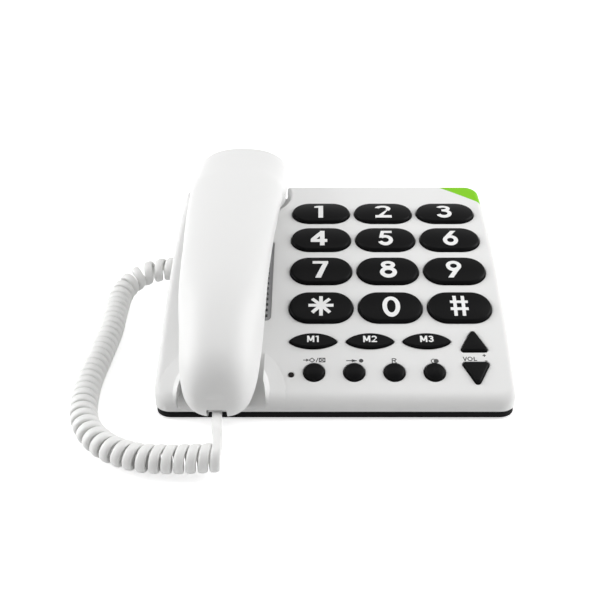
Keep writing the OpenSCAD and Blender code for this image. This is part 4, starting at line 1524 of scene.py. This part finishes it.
def glyph(character: str) -> list[list[Point2]]:
    """The strokes of one bold character, 14.4 mm high and centred.

    Args:
        character: a digit, a star, a hash or an M.

    Returns:
        Closed outlines that may overlap.
    """
    six = [
        *oval((0, -2.5), (3.55, 3.35), STROKE),
        [(0.9, 7.2), (4.3, 7.2), (-1.2, -1.0), (-4.75, -2.0), (-3.9, 0.2)],
    ]
    glyphs: dict[str, list[list[Point2]]] = {
        "0": oval((0, 0), (3.95, 5.85), STROKE),
        "1": [
            bar((1.3, 7.2), (1.3, -7.2), 3.1),
            [(-2.9, 4.3), (0.4, 4.3), (0.4, 7.2), (-0.4, 7.2), (-2.9, 6.2)],
        ],
        "2": [
            arc((-0.1, 3.05), (3.55, 2.85), 168, -42, STROKE),
            [(1.2, 0.2), (3.6, 2.0), (-0.6, -5.6), (-5.0, -5.6), (-5.0, -7.2)],
            [(-5.0, -7.2), (5.1, -7.2), (5.1, -4.7), (-5.0, -4.7)],
        ],
        "3": [
            arc((-0.3, 3.45), (3.25, 2.45), 158, -92, STROKE - 0.1),
            arc((-0.3, -2.55), (3.75, 3.3), 92, -160, STROKE),
            [(-1.5, -0.35), (0.2, -0.35), (0.2, 2.1), (-1.5, 2.1)],
        ],
        "4": [
            bar((2.1, 7.2), (2.1, -7.2), 3.0),
            [(-5.3, -1.6), (1.2, 7.2), (3.5, 7.2), (3.5, 5.0), (-1.9, -1.9)],
            [(-5.3, -4.3), (5.3, -4.3), (5.3, -1.6), (-5.3, -1.6)],
        ],
        "5": [
            [(-3.0, 4.7), (4.4, 4.7), (4.4, 7.2), (-2.6, 7.2)],
            [(-4.2, -0.5), (-1.7, -0.2), (-0.4, 6.4), (-2.7, 7.2)],
            arc((-0.25, -2.35), (3.65, 3.5), 138, -158, STROKE),
        ],
        "6": six,
        "7": [
            [(-4.8, 4.6), (4.8, 4.6), (4.8, 7.2), (-4.8, 7.2)],
            [(-3.1, -7.2), (0.4, -7.2), (4.8, 5.2), (4.8, 7.2), (1.8, 5.4)],
        ],
        "8": [*oval((0, 3.55), (2.95, 2.35), STROKE - 0.1), *oval((0, -2.75), (3.7, 3.1), STROKE)],
        "9": [[(-x, -y) for x, y in s] for s in six],
        "*": [bar((-x, -y), (x, y), 2.15) for x, y in STAR_WAYS],
        "#": [
            bar((-2.5, -7.5), (-2.5, 7.5), 2.1),
            bar((2.5, -7.5), (2.5, 7.5), 2.1),
            bar((-5.4, 2.6), (5.4, 2.6), 2.0),
            bar((-5.4, -2.6), (5.4, -2.6), 2.0),
        ],
        "M": [
            bar((-5.0, -7.2), (-5.0, 7.2), 3.0),
            bar((5.0, -7.2), (5.0, 7.2), 3.0),
            [(-6.5, 7.2), (-3.0, 7.2), (1.4, -4.6), (-1.4, -4.6)],
            [(6.5, 7.2), (3.0, 7.2), (-1.4, -4.6), (1.4, -4.6)],
        ],
    }
    return glyphs[character]


INK_DEPTH = 0.25


def inked_skin(
    shapes: Sequence[Sequence[Point2]], place: Callable[[float, float, float], Any], grid: float
) -> Skin:
    """Merges overlapping outlines into one thin printed layer.

    Args:
        shapes: closed outlines.
        place: turns a place on the surface, and a height over it, into a point.
        grid: distance between the inner points that let the layer bend.

    Returns:
        The layer's skin, with short walls down into the surface.
    """
    verts: list[Vector] = []
    loops: list[list[int]] = []
    for shape in shapes:
        dense = with_midpoints(list(shape), grid)
        loops.append(list(range(len(verts), len(verts) + len(dense))))
        verts.extend(Vector(p) for p in dense)
    spread = np.array([tuple(v) for v in verts])
    low, high = spread.min(axis=0), spread.max(axis=0)
    across, up = (np.arange(low[k], high[k], grid) for k in (0, 1))
    cells = np.array([(x, y) for x in across for y in up])
    if len(cells):
        keep = np.zeros(len(cells), bool)
        for shape in shapes:
            keep |= points_in(list(shape), cells)
        verts.extend(Vector(p) for p in cells[keep])
    edges = [(l[i], l[(i + 1) % len(l)]) for l in loops for i in range(len(l))]
    made, _, faces, _, _, _ = delaunay_2d_cdt(verts, edges, [], 0, 1e-5)
    flat = np.array([tuple(v) for v in made])
    centres = np.array([flat[list(t)].mean(0) for t in faces])
    keep = np.zeros(len(centres), bool)
    for shape in shapes:
        keep |= points_in(list(shape), centres)
    kept = [tuple(t) for t, k in zip(faces, keep) if k]
    used = sorted({i for t in kept for i in t})
    number = {old: new for new, old in enumerate(used)}
    skin = Skin()
    skin.ring(place(flat[i][0], flat[i][1], 0.0) for i in used)
    below = skin.ring(place(flat[i][0], flat[i][1], -INK_DEPTH) for i in used)
    border: dict[tuple[int, int], None] = {}
    for t in kept:
        t = tuple(number[i] for i in t)
        skin.faces.append(t)
        skin.faces.append(tuple(below[i] for i in reversed(t)))
        for i in range(3):
            a, b = t[i], t[(i + 1) % 3]
            if (b, a) in border:
                del border[(b, a)]
            else:
                border[(a, b)] = None
    for a, b in border:
        skin.faces.append((b, a, below[a], below[b]))
    return skin


@dataclass
class PanelSigns:
    """The small signs printed on the panel over the round keys."""

    form: BaseForm
    row: float = 166.2
    line: float = 0.5
    lift: float = 0.03
    layer: float = 0.4
    grid: float = 1.5

    def _signs(self) -> dict[str, tuple[float, float, list[list[Point2]]]]:
        """Every sign's place across and along the panel, and its shapes."""
        w, thin = self.line, self.line * 0.9
        r = [
            bar((-1.1, -1.5), (-1.1, 1.5), w), arc((-0.2, 0.75), (1.1, 0.62), 90, -90, w),
            bar((-1.1, 1.37), (-0.1, 1.37), w), *strokes([(-1.1, 0.13), (-0.1, 0.13), (1.1, -1.5)], w),
        ]
        v = [bar((-4.1, 1.3), (-3.2, -1.3), w), bar((-2.3, 1.3), (-3.2, -1.3), w)]
        o = oval((-0.5, 0), (1.15, 1.15), w)
        ell = [bar((1.7, 1.3), (1.7, -1.3), w), bar((1.7, -1.1), (3.2, -1.1), w)]
        store = [
            bar((-6.2, 0), (-3.2, 0), w), [(-4.6, 0.95), (-3.0, 0), (-4.6, -0.95)],
            *strokes([(-3.0, 0), (-1.5, 1.35), (0.0, 0), (-1.5, -1.35), (-3.0, 0)], w),
            bar((0.7, -1.4), (1.7, 1.4), thin),
            *(bar((2.4, y), (5.4, y), w) for y in (1.2, -1.2)),
            *(bar((x, -1.4), (x, 1.4), w) for x in (2.4, 5.4)),
            *(bar((2.6, -y), (5.2, y), thin) for y in (1.1, -1.1)),
        ]
        redial = [bar((-4.4, 0), (1.4, 0), w), [(-1.4, 1.0), (1.5, 0), (-1.4, -1.0)], disc((3.6, 0), 1.2)]
        mute = [arc((-0.7, 0), (1.2, 1.2), 40, 320, w), disc((0.75, 0), 1.35)]
        plus = [bar((-0.9, 0), (0.9, 0), w), bar((0, -0.9), (0, 0.9), w)]
        minus = [bar((-0.7, 0), (0.7, 0), w)]
        return {
            "store_sign": (-10.8, self.row, store),
            "redial_sign": (10.3, self.row + 0.4, redial),
            "recall_sign": (31.6, self.row + 0.4, r),
            "mute_sign": (53.2, self.row + 0.6, mute),
            "volume_sign": (72.6, 165.4, v + o + ell),
            "plus_sign": (79.9, 163.2, plus),
            "minus_sign": (80.6, 166.8, minus),
        }

    def build(self, finishes: Finishes) -> None:
        """Prints the signs."""
        for name, (x, along, shapes) in self._signs().items():

            def place(u: float, v: float, h: float) -> Point3:
                return self.form.on_panel(x + u, along - v, self.lift + h * self.layer)

            piece = inked_skin(shapes, place, self.grid).make(name, 60)
            place_piece(finishes.dress(piece, Finishes.INK), "base", ())


# --------------------------------------------------------------------- the handset


@dataclass
class Handset:
    """The two shells of the handset."""

    length: float = 216.0
    x: float = -59.5
    wall: float = 2.2
    parting: float = 0.42
    back_power: float = 2.3
    belly_power: float = 2.5
    groove: float = 0.35
    steps: int = 8
    arc_steps: int = 44
    form: tuple[tuple[float, float, float, float], ...] = (
        (0, 25, 18, 5.2), (0.8, 31, 12.2, 10.2), (3, 37, 8.2, 14.2), (8, 43.8, 5.7, 17.9),
        (17, 50.5, 8.7, 20.3), (27, 56.8, 13.6, 21.3), (37, 62.3, 21.5, 22.3), (48, 67, 38, 23.3),
        (62, 71.5, 48, 23.8), (87, 77, 54.5, 24.8), (112, 80.5, 58.5, 26.3), (134, 82.3, 60, 27.4),
        (150, 83, 58, 28.4), (160, 83, 50, 29), (168, 82.9, 46.7, 29.2), (182, 82, 46.4, 29.5),
        (196, 80.2, 46.6, 29.7), (205, 77.6, 48, 28.7), (211.5, 73.4, 51, 25.6), (215, 68, 55.5, 19.5),
        (216, 63.5, 59, 11),
    )
    screws: tuple[Point2, ...] = ((57.0, 50.0), (144.0, 63.0))
    receiver_s: float = 184.0
    microphone_s: float = 27.5
    turn: float = 0.7
    pivot_s: float = 95.0
    notch: tuple[float, float, float] = (5.2, 11.0, 14.1)
    channel: tuple[float, float, float] = (4.15, 14.5, 3.6)
    channel_span: Point2 = (3.5, 9.5)
    slot_round: float = 0.8
    smoothing: int = 10
    least_room: float = 0.6
    full_room: float = 2.0
    groove_start: float = 6.0
    groove_run: float = 20.0
    inner_steps: int = 20
    receiver_ring: float = 9.0
    receiver_bore: Point3 = (40.0, 49.6, 1.4)
    microphone_step: float = 3.0
    microphone_bore: Point3 = (8.0, 19.0, 0.8)
    screw_depth: float = 20.0
    screw_r: float = 2.6
    sharp_degrees: float = 35.0

    def _rows(self) -> np.ndarray:
        """Close rows along the handset: distance, back, underside and half width."""
        form = np.array(self.form, float)
        count = (len(form) - 1) * self.steps + 1
        rows = np.array([smooth_curve(form, i / self.steps) for i in range(count)])
        for _ in range(self.smoothing):
            rows[1:-1] = (rows[:-2] + 2 * rows[1:-1] + rows[2:]) / 4
        return rows

    def _arc(self, row: np.ndarray, half: float, rise: float, power: float, count: int) -> list[Point3]:
        """Half a rounded section, from +X over the rise to -X."""
        middle = row[2] + self.parting * (row[1] - row[2])
        y = row[0] - self.length / 2
        made = []
        for i in range(count + 1):
            a = math.pi * i / count
            c, s = math.cos(a), max(math.sin(a), 0.0)
            x = self.x + half * math.copysign(abs(c) ** (2 / power), c)
            made.append((x, y, middle + rise * s ** (2 / power)))
        return made

    def _shell(self, upper: bool) -> Skin:
        """One closed half shell."""
        power = self.back_power if upper else self.belly_power
        way = 1 if upper else -1
        skin, rings = Skin(), []
        rows = self._rows()
        for k, row in enumerate(rows):
            half = row[3]
            middle = row[2] + self.parting * (row[1] - row[2])
            rise = row[1] - middle if upper else middle - row[2]
            room = max(0.0, rise - self.wall)
            at_end = min(row[0], self.length - row[0]) < self.wall
            shut = room < self.least_room or at_end
            open_share = 0.0 if shut else min(1.0, room / self.full_room)
            outer = self._arc(row, half, way * rise, power, self.arc_steps)
            y = row[0] - self.length / 2
            # the edge falls back into a fine groove where the two shells meet, but not at the tip
            fade = min(1.0, max(0.02, (row[0] - self.groove_start) / self.groove_run))
            g = min(self.groove, rise * 0.3) * fade
            first = (self.x + half - g, y, middle)
            last = (self.x - half + g, y, middle)
            outer[0] = (self.x + half, y, middle + way * g)
            outer[-1] = (self.x - half, y, middle + way * g)
            outer = [p for p in outer if abs(p[2] - middle) >= g - 1e-9]
            outer = self._resample(outer, self.arc_steps + 1)
            narrow, depth = max(half - self.wall, half * 0.5), way * room * open_share
            inner = self._arc(row, narrow, depth, power, self.inner_steps)
            rings.append(skin.ring([first, *outer, last, *reversed(inner)]))
        for low, high in zip(rings, rings[1:]):
            skin.bridge(low, high)
        for ring, turned in ((rings[0], True), (rings[-1], False)):
            self._end(skin, ring, turned)
        return skin

    @staticmethod
    def _resample(points: Sequence[Point3], count: int) -> list[Point3]:
        """A row of points with equal steps along it."""
        p = np.array(points)
        s = np.concatenate([[0], np.cumsum(np.linalg.norm(np.diff(p, axis=0), axis=1))])
        t = np.linspace(0, s[-1], count)
        return [tuple(np.interp(v, s, p[:, k]) for k in range(3)) for v in t]

    def _end(self, skin: Skin, ring: list[int], turned: bool) -> None:
        """Closes a shell's end between its outer and inner rows."""
        outer_count = self.arc_steps + 3
        outer, inner = ring[:outer_count], ring[outer_count:][::-1]
        ratio = (len(inner) - 1) / (len(outer) - 1)
        for i in range(len(outer) - 1):
            a, b = inner[round(i * ratio)], inner[round((i + 1) * ratio)]
            face = [outer[i], outer[i + 1], b] + ([a] if a != b else [])
            skin.faces.append(tuple(reversed(face)) if turned else tuple(face))

    def _cutters(self) -> list[bpy.types.Object]:
        """Bars that cut the sound holes, the screw holes and the cord's slot."""
        receiver, ring, screw = self.receiver_bore, self.receiver_ring, self.screw_r
        rods = []
        for k in range(6):
            a = math.radians(60 * k)
            rods.append((ring * math.cos(a), self.receiver_s + ring * math.sin(a), *receiver))
        rods.append((0.0, self.receiver_s, *receiver))
        rods += [(k * self.microphone_step, self.microphone_s, *self.microphone_bore) for k in (-1, 0, 1)]
        rods += [(0.0, s, seat - self.screw_depth, seat, screw) for s, seat in self.screws]
        made = []
        for i, (dx, s, low, high, r) in enumerate(rods):
            skin, angles = Skin(), np.linspace(0, 2 * math.pi, 25)[:-1]
            rim = circle((self.x + dx, s - self.length / 2), r, angles)
            skin.tube([skin.ring((*p, z) for p in rim) for z in (low, high)])
            made.append(skin.make(f"cutter_{i}"))
        half, deep, top = self.notch
        made.append(self._slot("cutter_notch", half, 0.0, top, -1.0, deep))
        half, middle, rise = self.channel
        made.append(self._slot("cutter_channel", half, middle - rise, middle + rise, *self.channel_span))
        return made

    def _slot(
        self, name: str, half: float, low: float, high: float, near_s: float, far_s: float
    ) -> bpy.types.Object:
        """A block with round edges along Y that cuts a way for the cord.

        Args:
            name: the cutter's name.
            half: half its width.
            low: its lowest height.
            high: its greatest height.
            near_s: where it starts, from the handset's front end.
            far_s: where it ends.

        Returns:
            The cutter.
        """
        skin, r = Skin(), self.slot_round
        corners = corner_loop(rectangle((r - half, low + r), (half - r, high - r)), r, 5)
        places = (near_s - self.length / 2, far_s - self.length / 2)
        skin.tube([skin.ring((self.x + u, y, v) for u, v in corners) for y in places])
        return skin.make(name)

    def _lie(self, piece: bpy.types.Object) -> bpy.types.Object:
        """Turns a finished piece to the way that the handset lies."""
        pivot = Vector((self.x, self.pivot_s - self.length / 2, 0)) * MM
        turn = Matrix.Rotation(math.radians(-self.turn), 4, "Z")
        piece.data.transform(Matrix.Translation(pivot) @ turn @ Matrix.Translation(-pivot))
        return piece

    def build(self, finishes: Finishes) -> None:
        """Builds both shells."""
        upper = self._lie(self._shell(True).make("handset_back", self.sharp_degrees))
        lower = self._shell(False).make("handset_belly", self.sharp_degrees)
        cutters = self._cutters()
        for cutter in cutters:
            cut = lower.modifiers.new(cutter.name, "BOOLEAN")
            cut.operation, cut.solver, cut.object = "DIFFERENCE", "EXACT", cutter
        graph = bpy.context.evaluated_depsgraph_get()
        mesh = bpy.data.meshes.new_from_object(lower.evaluated_get(graph))
        lower.modifiers.clear()
        lower.data = mesh
        mesh.shade_smooth()
        mesh.set_sharp_from_angle(angle=math.radians(self.sharp_degrees))
        for cutter in cutters:
            bpy.data.objects.remove(cutter)
        self._lie(lower)
        for shell, node in ((upper, "handset_upper_shell"), (lower, "handset_lower_shell")):
            place_piece(finishes.dress(shell, Finishes.HANDSET), "handset", [node])


# --------------------------------------------------------------------- carried-over solids


@dataclass
class CarriedSolids:
    """Solids whose shape is right as it is, and that only get a finish."""

    def build(self, finishes: Finishes) -> None:
        """Dresses them."""
        plan: dict[Any, tuple[str, ...]] = {
            Finishes.COVER: ("base_bottom_cover",),
            Finishes.RUBBER: ("rubber_feet",),
            Finishes.STEEL: ("cover_screws", "handset_screws", "hook_spring", "handset_weight"),
            # the grille's grey finish carries painted shade from its slots and the handset above it
            Finishes.GRILLE: ("speaker_grille",),
            Finishes.LENS: ("indicator_lens",),
            Finishes.SILICONE: ("key_mat",),
            Finishes.BOARD: ("keypad_membrane", "main_circuit_board"),
            Finishes.CASING: ("hook_plunger",),
            Finishes.INNER: (
                "ringer_speaker", "hook_switch", "handset_cord_jack", "line_cord_jack",
                "handset_plug_socket", "receiver_capsule", "microphone_capsule",
            ),
            Finishes.PLUG: ("base_cord_plug", "handset_cord_plug"),
        }
        for finish, nodes in plan.items():
            for node in nodes:
                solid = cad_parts[node]
                finishes.dress(solid, finish)
                solid.data.shade_smooth()
                solid.data.set_sharp_from_angle(angle=math.radians(30))
                log.info("%s is dressed in %s", node, finish.name)


@dataclass
class Phone:
    """The whole phone and where its keys stand."""

    first_column: float = -7.5
    column_pitch: float = 38.6
    first_row: float = 40.3
    row_pitch: float = 29.8
    memory_columns: tuple[float, ...] = (-11.8, 19.0, 49.7)
    round_columns: tuple[float, ...] = (-11.2, 10.1, 31.4, 52.7)
    volume_column: float = 75.0
    lens_x: float = -23.3
    grille_along: float = 104.4
    memory_gap: float = 24.2
    round_gap: float = 20.1
    lens_gap: float = 1.6
    down_gap: float = 0.5

    def __post_init__(self) -> None:
        """Works out the lower rows."""
        self.memory_row = self.first_row + 3 * self.row_pitch + self.memory_gap
        self.round_row = self.memory_row + self.round_gap
        self.lens_along = self.round_row + self.lens_gap

    def keys(self) -> list[Key]:
        """Every key of the phone."""
        digits = [f"key_{name}" for name in (*"123456789", "star", "0", "hash")]
        made = []
        for i, (node, mark) in enumerate(zip(digits, "123456789*0#")):
            x = self.first_column + (i % 3) * self.column_pitch
            made.append(Key(node, KeyShape.PILL, x, self.first_row + (i // 3) * self.row_pitch, mark))
        for i, x in enumerate(self.memory_columns):
            made.append(Key(f"memory_key_{i + 1}", KeyShape.OVAL, x, self.memory_row, f"M{i + 1}"))
        for node, x in zip(("store_key", "redial_key", "recall_key", "mute_key"), self.round_columns):
            made.append(Key(node, KeyShape.ROUND, x, self.round_row))
        made.append(Key("volume_up_key", KeyShape.UP, self.volume_column, self.memory_row))
        down_row = self.round_row + self.down_gap
        made.append(Key("volume_down_key", KeyShape.DOWN, self.volume_column, down_row))
        return made

    def build(self) -> None:
        """Builds every piece in order."""
        finishes, form = Finishes(), BaseForm()
        CurlyCord().build(finishes)
        keys = self.keys()
        openings = [Opening(k.shape, k.x, k.along, k.clearance) for k in keys]
        openings.append(Opening(KeyShape.WINDOW, form.handset_x, self.grille_along, 0.0))
        openings.append(Opening(KeyShape.LENS, self.lens_x, self.lens_along, 0.0))
        Casing(form, openings).build(finishes)
        for key in keys:
            key.build(form, finishes)
        PanelSigns(form).build(finishes)
        Handset().build(finishes)
        CarriedSolids().build(finishes)


def main() -> None:
    """Builds the studio and the phone."""
    logging.basicConfig(level=logging.INFO, format="%(name)s: %(message)s")
    Studio().build()
    Phone().build()


if __name__ == "__main__":
    main()
